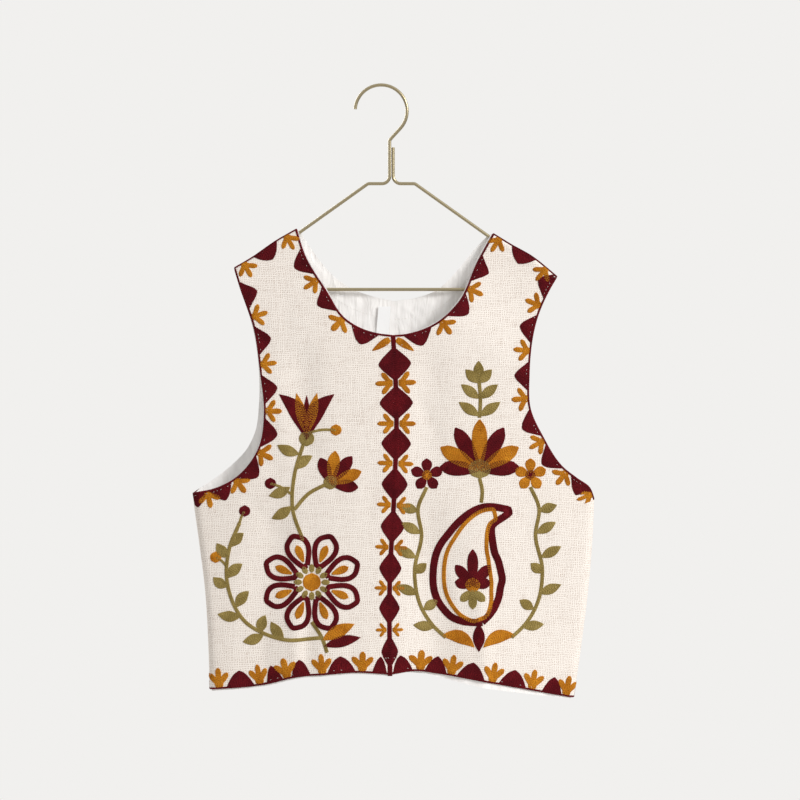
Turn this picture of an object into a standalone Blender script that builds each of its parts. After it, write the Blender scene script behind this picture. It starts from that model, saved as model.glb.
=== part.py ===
"""An embroidered, lined waistcoat on the wire hanger that holds it. Metres, +Z up, and the front faces -Y."""

import math

import bmesh
import bpy
import numpy as np
from mathutils import Vector

# Sizes are in millimetres, and become metres where a mesh or a wire is made. X runs across the waistcoat
# from its middle, Z is up from the hook's inner top, and the hanger lies in the plane Y = 0. Right and left
# are the wearer's, so the right side is at -X.
METRE = 0.001
HOOK_OFFSET = 12.0  # from the waistcoat's middle to the hook's top, which is the origin
RIGHT, LEFT = -1, 1
FRONT, BACK = -1, 1
WORN = {RIGHT: "right", LEFT: "left"}

# Cloth thicknesses, and the air between pieces that meet
OUTER_WALL = 1.5
LINING_WALL = 1.0
LABEL_WALL = 1.0
AIR = 0.3
LINING_AIR = 0.45  # the lining lies loose in the cloth

# How far the lining comes past the outer cloth's edges
REACH_OPENING = 1.0
REACH_HEM = 2.5

# The two bends that give the body its form: over the hanger's arms, and round each side seam
SHOULDER_ROLL = 6.0
SIDE_ROLL = 8.0
FULL_DEPTH_BELOW = 140.0  # this far under the shoulder line the body has its full depth
BOW_POWER = 2.2

# The body at each height: its side seams, and how far each face bows out between them
BODY_COLUMNS = ("z", "right", "left", "front_bow", "back_bow")
BODY = (
    (-720, -211.5, 211.5, 30, 10),
    (-650, -213.5, 221.5, 26, 9),
    (-590, -217.0, 229.0, 23, 8),
    (-525, -225.0, 234.5, 22, 7),
    (-475, -231.5, 236.5, 22, 6),
    (-400, -231.5, 236.5, 21, 6),
    (-300, -231.5, 236.5, 16, 5),
    (-160, -231.5, 236.5, 5, 3),
)

# The shoulder line from side to side. Past the neck points and the tips it only guides the drape.
SHOULDER_COLUMNS = ("x", "z")
SHOULDER = (
    (-250, -256),
    (-183, -211),
    (-163.5, -199.5),
    (-134.5, -179.5),
    (-111, -166),
    (-40, -128),
    (40, -128),
    (119, -171.2),
    (139, -183.5),
    (164.5, -198),
    (193, -221),
    (250, -266),
)

# Edges as seen from the front, each as (x, z) from its lower end to its upper end
CENTRE_LINE = {
    FRONT: ((-1.5, -683.5), (-2, -587), (4, -459), (6, -390), (5, -345), (2, -291)),
    BACK: ((2, -681), (2, -560), (2, -400), (2, -250.5)),
}
NECK = {
    (FRONT, RIGHT): (
        (2, -291), (-17, -288.5), (-37, -282), (-53, -272), (-77, -237), (-101, -197), (-111, -166),
    ),
    (FRONT, LEFT): (
        (2, -291), (18, -289.5), (33, -285.5), (53, -276), (78, -252.5), (101, -204), (119, -171.2),
    ),
    (BACK, RIGHT): ((2, -250.5), (-25, -244.5), (-54, -233), (-77, -214), (-93, -194), (-111, -166)),
    (BACK, LEFT): ((2, -250.5), (29, -247), (53, -238.5), (78, -216), (97.5, -192.5), (119, -171.2)),
}
ARMHOLE = {
    (FRONT, RIGHT): (
        (-231.5, -474), (-205, -468.5), (-180.5, -456), (-164.5, -440), (-153, -420),
        (-147, -382), (-151.5, -334), (-159.5, -281.5), (-178, -227.5), (-183, -211),
    ),
    (FRONT, LEFT): (
        (236.5, -481), (231, -468), (215.5, -456.5), (199.5, -444), (175.5, -408),
        (161, -376), (159.5, -338), (171.5, -263.5), (184.5, -235.5), (193, -221),
    ),
    (BACK, RIGHT): (
        (-231.5, -474), (-203, -455.5), (-184, -440), (-170, -425.5), (-159, -404),
        (-154, -370), (-155, -320), (-161, -281.5), (-178.5, -227.5), (-183, -211),
    ),
    (BACK, LEFT): (
        (236.5, -481), (229, -467), (213, -456), (196, -442), (173, -406),
        (159, -374), (158, -338), (170, -263.5), (184, -235.5), (193, -221),
    ),
}
HEM = {
    (FRONT, RIGHT): (
        (-1.5, -683.5), (-38, -682), (-79, -685), (-115, -688), (-143, -694.5), (-212, -701.5),
    ),
    (FRONT, LEFT): (
        (-1.5, -683.5), (28, -682), (55, -686.5), (93, -693.5), (158, -703.5), (212.5, -711),
    ),
    (BACK, RIGHT): ((2, -681), (-50, -682), (-120, -688), (-212, -701.5)),
    (BACK, LEFT): ((2, -681), (60, -684), (140, -697), (212.5, -711)),
}
NECK_MIDDLE = (2, -215)
ARMHOLE_MIDDLE = {RIGHT: (-232, -335), LEFT: (238, -340)}

# The largest folds. Each runs from its top to its bottom and goes in by its depth; a minus is a ridge.
FOLD_COLUMNS = ("x_top", "z_top", "x_bottom", "z_bottom", "half_width", "depth")
FOLDS = {
    FRONT: (
        (-128, -430, -172, -800, 30, 8.0),
        (-97, -480, -97, -800, 14, 3.6),
        (-198, -480, -202, -800, 22, -2.0),
        (-106, -280, -100, -470, 20, 4.2),
        (-150, -380, -132, -470, 16, 2.0),
        (42, -280, 44, -480, 24, 3.6),
        (38, -440, 60, -840, 30, 8.5),
        (160, -440, 178, -720, 24, 2.5),
    ),
    BACK: (
        (-105, -400, -120, -800, 24, 4.0),
        (-40, -480, -46, -800, 26, -3.0),
        (55, -430, 62, -800, 24, 3.5),
        (130, -500, 138, -800, 26, 3.0),
        (10, -290, 4, -420, 30, 2.5),
    ),
}
FOLD_FADE = 0.3  # share of a fold's run over which it comes in, and goes out

# The mesh of one half of a panel: rows along each part of its two long edges, and columns between them
ROWS_CENTRE, ROWS_NECK = 14, 11
ROWS_SIDE, ROWS_ARMHOLE = 8, 17
COLUMNS = 13
SHOULDER_STEPS, SIDE_STEPS = 2, 3  # mesh steps round each bend

# The back's cloth is six solids, each nearly flat or bent one way. It is cut up beside the bend at each side,
# across above both bends, and across again beside the neck.
CUT_COLUMN = COLUMNS - SIDE_STEPS - 1
CHEST_ROW, SHOULDER_ROW, TOP_ROW = ROWS_SIDE + SIDE_STEPS, ROWS_CENTRE + 4, ROWS_CENTRE + ROWS_NECK
ROW_GAP = 0.45  # measured up the cloth: the cuts across it slope, and their edges are 0.3 apart
NO_ROLL = np.zeros(1)
WELD = 0.01
PROBE = 0.05  # the step of the differences that find the cloth's outward direction

# Label, sewn to the back lining under the neck by its upper edge
LABEL_TOP = (-8.0, -256.0)
LABEL_WIDTH = 14.5
LABEL_LENGTH = 36.0
LABEL_LEAN = 1.2
LABEL_LIFT = 0.7  # it stands this far off the lining, which curves behind it
LABEL_COLUMNS, LABEL_ROWS = 2, 4

# Wire hanger
WIRE_RADIUS = 1.9
HOOK_RADIUS = 30.3
HOOK_TIP_ANGLE = 176.0
HOOK_END_ANGLE = -43.5
SHANK_TOP_Z = -62.4
SHANK_BEND = 5.0
STRAND_TOP_Z = -71.0
YOKE_Z = -113.2
YOKE_HALF_WIDTH = 27.3
YOKE_BEND = 9.0
ARM_BEND = 6.0
ARM_SLOPE = 35.5
BAR_Z = -236.5
BAR_BEND = 14.2
BEND_STEP = 18.0  # degrees between points on a bend
WIRE_RESOLUTION = 2


def clear_scene():
    for obj in list(bpy.data.objects):
        bpy.data.objects.remove(obj, do_unlink=True)


def new_material(name, colour, roughness, metallic=0.0):
    material = bpy.data.materials.new(name)
    material.use_nodes = True
    shader = material.node_tree.nodes["Principled BSDF"]
    shader.inputs["Base Color"].default_value = (*colour, 1.0)
    shader.inputs["Roughness"].default_value = roughness
    shader.inputs["Metallic"].default_value = metallic
    return material


def smooth(knots, values, at):
    """Reads a smooth line through the knots. It stays level past their ends."""
    slopes = np.gradient(values, knots)
    i = np.clip(np.searchsorted(knots, at) - 1, 0, len(knots) - 2)
    step = knots[i + 1] - knots[i]
    t = np.clip((at - knots[i]) / step, 0, 1)
    start = (1 + 2 * t) * (1 - t) ** 2 * values[i] + t * (1 - t) ** 2 * step * slopes[i]
    end = t**2 * (3 - 2 * t) * values[i + 1] - t**2 * (1 - t) * step * slopes[i + 1]
    return start + end


def ease(share):
    share = np.clip(share, 0, 1)
    return share * share * (3 - 2 * share)


def read(table, columns, name, at):
    """Reads a table's column, smoothly, against its first column."""
    rows = np.array(table, float)
    return smooth(rows[:, 0], rows[:, columns.index(name)], at)


def shoulder_z(x):
    return read(SHOULDER, SHOULDER_COLUMNS, "z", x)


def middle_and_half(z):
    right = read(BODY, BODY_COLUMNS, "right", z)
    left = read(BODY, BODY_COLUMNS, "left", z)
    return (right + left) / 2, (left - right) / 2


def fold_depth(face, x, z):
    """How far the folds take the cloth in at a point."""
    total = 0.0
    for row in FOLDS[face]:
        fold = dict(zip(FOLD_COLUMNS, row))
        run = (fold["z_top"] - z) / (fold["z_top"] - fold["z_bottom"])
        middle = fold["x_top"] + (fold["x_bottom"] - fold["x_top"]) * run
        inside = ease(run / FOLD_FADE) * ease((1 - run) / FOLD_FADE)
        total = total + fold["depth"] * inside * np.exp(-(((x - middle) / fold["half_width"]) ** 2))
    return total


def lay_flat(x, z):
    """Turns a point seen from the front into the cloth's own (across, up), with both bends rolled out."""
    middle, half = middle_and_half(z)
    straight = half - SIDE_ROLL
    past = np.clip((np.abs(x - middle) - straight) / SIDE_ROLL, 0, 1)
    across = np.minimum(np.abs(x - middle), straight) + SIDE_ROLL * np.arcsin(past)
    drop = np.maximum(shoulder_z(x) - z, 0)
    rolled = SHOULDER_ROLL * np.arccos(1 - np.minimum(drop, SHOULDER_ROLL) / SHOULDER_ROLL)
    run = rolled + np.maximum(drop - SHOULDER_ROLL, 0)
    return np.sign(x - middle) * across, shoulder_z(x) - run


def drape(face, across, up):
    """The outer cloth's surface: (x, y, z) of the flat cloth's point, hung over the hanger."""
    half_roll = math.pi / 2
    # Where the body's width changes, the shoulder's roll is far above and has taken up this much cloth.
    middle, half = middle_and_half(up + SHOULDER_ROLL * (half_roll - 1))
    straight = half - SIDE_ROLL
    turn = np.clip((np.abs(across) - straight) / SIDE_ROLL, 0, half_roll)
    out = np.minimum(np.abs(across), straight) + SIDE_ROLL * np.sin(turn)
    x = middle + np.sign(across) * out
    run = np.maximum(shoulder_z(x) - up, 0)
    over = np.clip(run / SHOULDER_ROLL, 0, half_roll)
    drop = SHOULDER_ROLL * (1 - np.cos(over)) + np.maximum(run - SHOULDER_ROLL * half_roll, 0)
    z = shoulder_z(x) - drop
    bow = read(BODY, BODY_COLUMNS, "front_bow" if face == FRONT else "back_bow", z)
    side = 1 - (out / half) ** BOW_POWER
    full = SIDE_ROLL * np.cos(turn) + (bow - fold_depth(face, x, z)) * side
    share = ease((drop - SHOULDER_ROLL) / FULL_DEPTH_BELOW)
    y = SHOULDER_ROLL * np.sin(over) * (1 - share) + full * share
    return np.stack([x, face * y, z], axis=-1)


def layer(face, across, up, inward):
    """The same surface moved in along its own outward direction, and kept clear of the other face's seam."""
    point = drape(face, across, up)
    along = drape(face, across + PROBE, up) - drape(face, across - PROBE, up)
    rise = drape(face, across, up + PROBE) - drape(face, across, up - PROBE)
    outward = -face * np.cross(along, rise)
    outward /= np.linalg.norm(outward, axis=-1, keepdims=True)
    point = point - outward * inward
    point[..., 1] = face * np.maximum(face * point[..., 1], AIR / 2)
    return point


def roll_steps(radius, steps):
    """Distances round a quarter bend, from its edge inwards."""
    return np.linspace(0, radius * math.pi / 2, steps + 1)


def stations(length, steps, head, tail):
    """Distances along an edge: the head's from its start, even steps, and the tail's from its far end."""
    even = np.linspace(head[-1], length - tail[-1], steps - len(head) - len(tail) + 3)
    return np.concatenate([head[:-1], even, length - tail[-2::-1]])


def edge(points, steps, head=NO_ROLL, tail=NO_ROLL):
    """Points at the stations of a smooth curve through the given ones."""
    points = np.array(points, float)
    run = np.concatenate([[0], np.cumsum(np.linalg.norm(np.diff(points, axis=0), axis=1))])
    at = stations(run[-1], steps, head, tail)
    return np.column_stack([smooth(run, points[:, 0], at), smooth(run, points[:, 1], at)])


def towards(points, middle, reach):
    """Moves an edge's points by reach towards the middle of the opening that it goes round."""
    way = np.array(middle, float) - points
    return points + way * reach / np.linalg.norm(way, axis=1, keepdims=True)


def flat_edge(points):
    """An edge as flat points, its last ones on the shoulder's roll at the same stations for every layer."""
    flat = np.column_stack(lay_flat(points[:, 0], points[:, 1]))
    for row, run in enumerate(roll_steps(SHOULDER_ROLL, SHOULDER_STEPS), start=1):
        flat[-row, 1] = shoulder_z(points[-row, 0]) - run
    return flat


def half_panel(face, side, reach_opening=0.0, reach_hem=0.0):
    """One half of a panel as a grid of flat points, from hem to shoulder and from the middle outwards."""
    over = roll_steps(SHOULDER_ROLL, SHOULDER_STEPS)
    round_side = roll_steps(SIDE_ROLL, SIDE_STEPS)

    centre = edge(CENTRE_LINE[face], ROWS_CENTRE)
    centre[0, 1] -= reach_hem
    neck = towards(edge(NECK[face, side], ROWS_NECK, tail=over), NECK_MIDDLE, reach_opening)
    if face == FRONT:
        centre[:, 0] += side * AIR / 2
        neck[0, 0] += side * AIR / 2
    inner = flat_edge(np.concatenate([centre[:-1], neck]))

    armhole = edge(ARMHOLE[face, side], ROWS_ARMHOLE, head=round_side, tail=over)
    armhole = towards(armhole, ARMHOLE_MIDDLE[side], reach_opening)
    seam_z = np.linspace(HEM[face, side][-1][1] - reach_hem, armhole[0, 1], ROWS_SIDE + 1)
    seam = np.column_stack([read(BODY, BODY_COLUMNS, WORN[side], seam_z), seam_z])
    outer = flat_edge(np.concatenate([seam[:-1], armhole]))

    shares = stations(abs(outer[0, 0] - inner[0, 0]), COLUMNS, NO_ROLL, round_side)
    shares = shares[:, None] / shares[-1]
    grid = np.array([first + (last - first) * shares for first, last in zip(inner, outer)])

    # Each row is straight between the two edges, and bends to the hem and to the shoulder near them.
    hem = np.array(HEM[face, side], float)
    hem_x = drape(face, grid[0, :, 0], grid[0, :, 1])[:, 0]
    hem_z = smooth(side * hem[:, 0], hem[:, 1], side * hem_x) - reach_hem
    top_x = drape(face, grid[-1, :, 0], grid[-1, :, 1])[:, 0]
    hem_bend = lay_flat(hem_x, hem_z)[1] - grid[0, :, 1]
    top_bend = shoulder_z(top_x) - grid[-1, :, 1]
    rows = np.arange(len(grid))[:, None]
    grid[:, :, 1] += hem_bend * np.clip(1 - rows / ROWS_SIDE, 0, 1)
    grid[:, :, 1] += top_bend * ease((rows - ROWS_CENTRE) / (ROWS_NECK - SHOULDER_STEPS))
    return grid


def block(half, side, low_row, high_row, first=0, last=COLUMNS):
    """Part of a half panel's grid, drawn in by half a gap along each cut."""
    part = half[low_row : high_row + 1, first : last + 1].copy()
    part[0, :, 1] += ROW_GAP / 2 if low_row > 0 else 0
    part[-1, :, 1] -= ROW_GAP / 2 if high_row < TOP_ROW else 0
    part[:, 0, 0] += side * AIR / 2 if first > 0 else 0
    part[:, -1, 0] -= side * AIR / 2 if last < COLUMNS else 0
    return part


def cut_back(halves):
    """The back's two grids as those of its six solids."""
    solids = {"back": [], "back_chest": []}
    for side, half in halves.items():
        solids["back"].append(block(half, side, 0, CHEST_ROW, last=CUT_COLUMN))
        solids["back_chest"].append(block(half, side, CHEST_ROW, SHOULDER_ROW))
        solids[f"back_side_{WORN[side]}"] = [block(half, side, 0, CHEST_ROW, first=CUT_COLUMN)]
        solids[f"back_shoulder_{WORN[side]}"] = [block(half, side, SHOULDER_ROW, TOP_ROW)]
    return solids


def label_patch():
    """The label's grid of flat points, from its lower end up, leaning a little to one side."""
    top_across, top_up = lay_flat(*np.array(LABEL_TOP))
    rows = np.linspace(1, 0, LABEL_ROWS + 1)[:, None]
    across = top_across + rows * LABEL_LEAN + np.linspace(-0.5, 0.5, LABEL_COLUMNS + 1) * LABEL_WIDTH
    return np.stack([across, top_up - rows * LABEL_LENGTH + 0 * across], axis=-1)


def new_cloth(name, face, patches, inward, wall, material):
    """A closed wall of cloth: its outer side lies inward of the drape, and its inner side a wall on."""
    shape = bmesh.new()
    across = shape.verts.layers.float.new("across")
    up = shape.verts.layers.float.new("up")

    def place(verts, depth):
        flat = np.array([(vert[across], vert[up]) for vert in verts], float)
        for vert, point in zip(verts, layer(face, flat[:, 0], flat[:, 1], depth) * METRE):
            vert.co = point

    for patch in patches:
        grid = [[shape.verts.new((*point, 0)) for point in row] for row in patch]
        for row, flat_row in zip(grid, patch):
            for vert, point in zip(row, flat_row):
                vert[across], vert[up] = point
        for low, high in zip(grid, grid[1:]):
            for corners in zip(low, low[1:], high[1:], high):
                shape.faces.new(corners)
    bmesh.ops.remove_doubles(shape, verts=shape.verts[:], dist=WELD)
    bmesh.ops.triangulate(shape, faces=shape.faces[:], quad_method="FIXED")
    place(shape.verts[:], inward)
    wall_side = bmesh.ops.extrude_face_region(shape, geom=shape.faces[:])
    place([item for item in wall_side["geom"] if isinstance(item, bmesh.types.BMVert)], inward + wall)
    bmesh.ops.recalc_face_normals(shape, faces=shape.faces[:])

    mesh = bpy.data.meshes.new(name)
    shape.to_mesh(mesh)
    shape.free()
    mesh.shade_smooth()
    mesh.set_sharp_from_angle(angle=math.radians(60))
    return new_object(name, mesh, material)


def new_object(name, data, material):
    obj = bpy.data.objects.new(name, data)
    obj.data.materials.append(material)
    bpy.context.scene.collection.objects.link(obj)
    return obj


def polar(radius, angle):
    return Vector((math.cos(math.radians(angle)), math.sin(math.radians(angle)))) * radius


def arc(middle, radius, first, last):
    """Points round a bend in the hanger's plane, at even steps between two angles in degrees."""
    steps = math.ceil(abs(last - first) / BEND_STEP)
    return [Vector(middle) + polar(radius, first + (last - first) * i / steps) for i in range(steps + 1)]


def bent(corners):
    """A wire's points: straight runs between the corners, each an (x, z) with the radius of its bend."""
    points = [Vector(corners[0][0])]
    for (before, _), (corner, radius), (after, _) in zip(corners, corners[1:], corners[2:]):
        back = (Vector(before) - Vector(corner)).normalized()
        on = (Vector(after) - Vector(corner)).normalized()
        half = back.angle(on) / 2
        middle = Vector(corner) + (back + on).normalized() * (radius / math.sin(half))
        start = Vector(corner) + back * (radius / math.tan(half)) - middle
        end = Vector(corner) + on * (radius / math.tan(half)) - middle
        first = math.degrees(math.atan2(start.y, start.x))
        turn = math.degrees(math.atan2(start.cross(end), start.dot(end)))
        points += arc(middle, radius, first, first + turn)
    return points + [Vector(corners[-1][0])]


def new_wire(name, points, material):
    """A round wire through points of the hanger's plane, closed at both ends."""
    curve = bpy.data.curves.new(name, "CURVE")
    curve.dimensions = "3D"
    curve.bevel_depth = WIRE_RADIUS * METRE
    curve.bevel_resolution = WIRE_RESOLUTION
    curve.use_fill_caps = True
    spline = curve.splines.new("POLY")
    spline.points.add(len(points) - 1)
    spline.use_smooth = True
    for place, (x, z) in zip(spline.points, points):
        place.co = (x * METRE, 0, z * METRE, 1)
    return new_object(name, curve, material)


def new_hanger(material):
    """The hanger's one wire in five runs: the hook, the strand beside its shank, both arms, and the bar."""
    strand_x = WIRE_RADIUS + AIR / 2
    slope = math.tan(math.radians(ARM_SLOPE))
    down = Vector((math.cos(math.radians(ARM_SLOPE)), -math.sin(math.radians(ARM_SLOPE))))
    yoke_end = Vector((YOKE_HALF_WIDTH, YOKE_Z))
    arm_foot = Vector((YOKE_HALF_WIDTH + (YOKE_Z - BAR_Z) / slope, BAR_Z))
    arm_start = yoke_end + down * (ARM_BEND + AIR)
    bend_run = BAR_BEND / math.tan(math.radians(ARM_SLOPE / 2))
    arm_end = arm_foot - down * (bend_run + AIR)
    bar_start = arm_foot - down * bend_run

    def across(point):
        return Vector((-point.x, point.y))

    hook_middle = Vector((-HOOK_OFFSET, WIRE_RADIUS - HOOK_RADIUS))
    hook = arc(hook_middle, HOOK_RADIUS, HOOK_TIP_ANGLE, HOOK_END_ANGLE)
    yoke_stop = yoke_end + down * ARM_BEND
    shank = [
        (hook[-1], 0),
        ((-strand_x, SHANK_TOP_Z), SHANK_BEND),
        ((-strand_x, YOKE_Z), YOKE_BEND),
        (across(yoke_end), ARM_BEND),
        (across(yoke_stop), 0),
    ]
    strand = [
        ((strand_x, STRAND_TOP_Z), 0),
        ((strand_x, YOKE_Z), YOKE_BEND),
        (yoke_end, ARM_BEND),
        (yoke_stop, 0),
    ]
    bar = [(across(bar_start), 0), (across(arm_foot), BAR_BEND), (arm_foot, BAR_BEND), (bar_start, 0)]
    return [
        new_wire("hanger_hook", hook[:-1] + bent(shank), material),
        new_wire("hanger_strand", bent(strand), material),
        new_wire("hanger_arm_left", [arm_start, arm_end], material),
        new_wire("hanger_arm_right", [across(arm_start), across(arm_end)], material),
        new_wire("hanger_bar", bent(bar), material),
    ]


def new_waistcoat(cloth, cotton, ribbon):
    """The outer cloth, its lining behind it, and the label on the lining."""
    pieces = []
    linings = ("lining_", OUTER_WALL + LINING_AIR, LINING_WALL, (REACH_OPENING, REACH_HEM), cotton)
    for prefix, inward, wall, reaches, material in (("", 0.0, OUTER_WALL, (0.0, 0.0), cloth), linings):
        for side in (RIGHT, LEFT):
            patch = half_panel(FRONT, side, *reaches)
            pieces.append(new_cloth(f"{prefix}front_{WORN[side]}", FRONT, [patch], inward, wall, material))
        halves = {side: half_panel(BACK, side, *reaches) for side in (RIGHT, LEFT)}
        backs = {"lining_back": halves.values()} if prefix else cut_back(halves)
        for name, grids in backs.items():
            pieces.append(new_cloth(name, BACK, grids, inward, wall, material))
    label_inward = OUTER_WALL + LINING_AIR + LINING_WALL + LABEL_LIFT
    pieces.append(new_cloth("label", BACK, [label_patch()], label_inward, LABEL_WALL, ribbon))
    return pieces


def build():
    clear_scene()
    stand = bpy.data.objects.new("waistcoat_middle", None)
    stand.location.x = HOOK_OFFSET * METRE
    bpy.context.scene.collection.objects.link(stand)
    pieces = new_hanger(new_material("brassed_wire", (0.36, 0.29, 0.16), 0.35, 1.0))
    pieces += new_waistcoat(
        new_material("cream_cotton", (0.82, 0.77, 0.68), 0.9),
        new_material("white_lining", (0.88, 0.86, 0.83), 0.85),
        new_material("label_ribbon", (0.9, 0.9, 0.9), 0.6),
    )
    for piece in pieces:
        piece.parent = stand


build()
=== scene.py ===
"""The looks of an embroidered, lined waistcoat on its wire hanger. Metres, +Z up, and the front faces -Y."""

import math

import bmesh
import bpy
import numpy as np
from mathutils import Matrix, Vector


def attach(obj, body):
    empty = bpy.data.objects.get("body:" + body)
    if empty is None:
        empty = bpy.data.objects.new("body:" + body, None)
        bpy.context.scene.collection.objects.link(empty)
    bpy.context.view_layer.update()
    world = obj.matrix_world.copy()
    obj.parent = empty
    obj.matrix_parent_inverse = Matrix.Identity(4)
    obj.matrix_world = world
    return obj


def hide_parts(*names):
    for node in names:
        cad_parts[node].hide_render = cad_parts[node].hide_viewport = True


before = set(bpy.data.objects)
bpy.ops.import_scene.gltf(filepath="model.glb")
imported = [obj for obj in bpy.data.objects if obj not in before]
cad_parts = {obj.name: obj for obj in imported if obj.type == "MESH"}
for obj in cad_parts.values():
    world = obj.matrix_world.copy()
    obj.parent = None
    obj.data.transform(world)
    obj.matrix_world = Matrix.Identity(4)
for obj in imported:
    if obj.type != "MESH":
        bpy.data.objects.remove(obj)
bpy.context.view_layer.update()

# Outer cloth
# Two fronts and a back in slubby, hand-woven cream cotton, cut short and boxy and bagged out with a lining.
# It hangs limp from a wire hanger, so it is flat but for soft folds that run down from the chest.
MM = 0.001
MIDDLE_X = 12.0  # the waistcoat's middle, from the hook's top, which is the origin
RIGHT, LEFT = -1, 1  # the wearer's, so the right is at -X
FRONT, BACK = -1, 1
WORN = {RIGHT: "right", LEFT: "left"}
CLOTH_WALL = 1.5
SEAM_AIR = 0.1
SHOULDER_ROLL = 6.0
SIDE_ROLL = 8.0
FULL_DEPTH_BELOW = 140.0
BOW_POWER = 2.2

BODY_COLUMNS = ("z", "right", "left", "front_bow", "back_bow")
BODY = (
    (-720, -211.5, 211.5, 30, 10),
    (-650, -213.5, 221.5, 26, 9),
    (-590, -217.0, 229.0, 23, 8),
    (-525, -225.0, 234.5, 22, 7),
    (-475, -231.5, 236.5, 22, 6),
    (-400, -231.5, 236.5, 21, 6),
    (-300, -231.5, 236.5, 16, 5),
    (-160, -231.5, 236.5, 5, 3),
)
SHOULDER = (
    (-250, -256), (-183, -211), (-163.5, -199.5), (-134.5, -179.5), (-111, -166), (-40, -128),
    (40, -128), (119, -171.2), (139, -183.5), (164.5, -198), (193, -221), (250, -266),
)
SHOULDER_ENDS = {RIGHT: (-111, -183), LEFT: (119, 193)}

# Edges as seen from the front, each as (x, z) from its lower or inner end
CENTRE_LINE = {
    FRONT: ((-1.5, -683.5), (-2, -587), (4, -459), (6, -390), (5, -345), (2, -291)),
    BACK: ((2, -681), (2, -560), (2, -400), (2, -250.5)),
}
NECK = {
    (FRONT, RIGHT): (
        (2, -291), (-17, -288.5), (-37, -282), (-53, -272), (-77, -237), (-101, -197), (-111, -166),
    ),
    (FRONT, LEFT): (
        (2, -291), (18, -289.5), (33, -285.5), (53, -276), (78, -252.5), (101, -204), (119, -171.2),
    ),
    (BACK, RIGHT): ((2, -250.5), (-25, -244.5), (-54, -233), (-77, -214), (-93, -194), (-111, -166)),
    (BACK, LEFT): ((2, -250.5), (29, -247), (53, -238.5), (78, -216), (97.5, -192.5), (119, -171.2)),
}
ARMHOLE = {
    (FRONT, RIGHT): (
        (-231.5, -474), (-205, -468.5), (-180.5, -456), (-164.5, -440), (-153, -420),
        (-147, -382), (-151.5, -334), (-159.5, -281.5), (-178, -227.5), (-183, -211),
    ),
    (FRONT, LEFT): (
        (236.5, -481), (231, -468), (215.5, -456.5), (199.5, -444), (175.5, -408),
        (161, -376), (159.5, -338), (171.5, -263.5), (184.5, -235.5), (193, -221),
    ),
    (BACK, RIGHT): (
        (-231.5, -474), (-203, -455.5), (-184, -440), (-170, -425.5), (-159, -404),
        (-154, -370), (-155, -320), (-161, -281.5), (-178.5, -227.5), (-183, -211),
    ),
    (BACK, LEFT): (
        (236.5, -481), (229, -467), (213, -456), (196, -442), (173, -406),
        (159, -374), (158, -338), (170, -263.5), (184, -235.5), (193, -221),
    ),
}
HEM = {
    (FRONT, RIGHT): ((-1.5, -681), (-38, -679), (-79, -682), (-115, -686), (-143, -693.5), (-212, -701.5)),
    (FRONT, LEFT): ((-1.5, -681), (28, -677.5), (55, -681), (93, -687.5), (158, -700), (212.5, -711)),
    (BACK, RIGHT): ((2, -681), (-50, -682), (-120, -688), (-212, -701.5)),
    (BACK, LEFT): ((2, -681), (60, -684), (140, -697), (212.5, -711)),
}
NECK_MIDDLE = (2, -215)
ARMHOLE_MIDDLE = {RIGHT: (-232, -335), LEFT: (238, -340)}

# Folds and then finer creases: (x, z) of the top and the bottom, half width, and depth. A minus is a ridge.
FOLD_COLUMNS = ("x_top", "z_top", "x_bottom", "z_bottom", "half_width", "depth")
FOLDS = {
    FRONT: (
        (-128, -430, -172, -800, 30, 8.0),
        (-107, -450, -109, -800, 11, -2.6),
        (-97, -480, -97, -800, 14, 3.6),
        (-198, -480, -202, -800, 22, -2.0),
        (-106, -280, -100, -470, 20, 4.2),
        (-150, -380, -132, -470, 16, 2.0),
        (42, -280, 44, -480, 24, 3.6),
        (38, -440, 60, -840, 30, 8.5),
        (104, -520, 108, -820, 13, -3.4),
        (160, -440, 178, -720, 24, 2.5),
        (-165, -235, -142, -330, 9, 0.8),
        (-128, -205, -120, -300, 8, 0.7),
        (152, -235, 130, -325, 9, 0.8),
        (-206, -500, -192, -650, 8, 1.0),
        (-150, -590, -146, -780, 8, 1.2),
        (-102, -560, -100, -780, 6, 1.1),
        (-84, -600, -86, -780, 6, -0.8),
        (-44, -610, -50, -780, 8, 0.9),
        (-18, -420, -30, -520, 9, 0.7),
        (58, -520, 84, -650, 8, -1.0),
        (96, -600, 102, -790, 7, 1.1),
        (146, -590, 152, -790, 8, 1.0),
        (200, -520, 194, -660, 8, 1.0),
        (-176, -468, -128, -530, 10, 1.0),
        (186, -466, 134, -545, 10, 0.9),
        (22, -345, 60, -425, 8, 0.6),
    ),
    BACK: (
        (-105, -400, -120, -800, 24, 4.0),
        (-40, -480, -46, -800, 26, -3.0),
        (55, -430, 62, -800, 24, 3.5),
        (130, -500, 138, -800, 26, 3.0),
        (10, -290, 4, -420, 30, 2.5),
        (-160, -240, -138, -330, 9, 0.8),
        (154, -240, 134, -335, 9, 0.8),
        (-70, -300, -84, -420, 10, 0.8),
        (74, -310, 66, -410, 9, 0.7),
        (-176, -470, -126, -540, 10, 1.0),
        (180, -470, 128, -535, 10, 1.0),
        (-182, -560, -176, -780, 8, 1.1),
        (-132, -560, -138, -780, 7, 1.0),
        (-78, -590, -82, -780, 7, -0.9),
        (0, -560, 6, -780, 9, 1.0),
        (92, -570, 98, -780, 7, 1.1),
        (176, -560, 172, -780, 8, 1.0),
    ),
}
FOLD_FADE = 0.3

# The cut of a front and of the back: width and length, in metres, and area in square metres
FRONT_CUT, FRONT_AREA = (0.252, 0.530), 0.093
BACK_CUT, BACK_AREA = (0.490, 0.545), 0.192

# The fine mesh of one half of a panel
ROWS_CENTRE, ROWS_NECK = 98, 77
ROWS_SIDE, ROWS_ARMHOLE = 56, 119
COLUMNS = 72
WELD = 0.01
PROBE = 0.05


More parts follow.
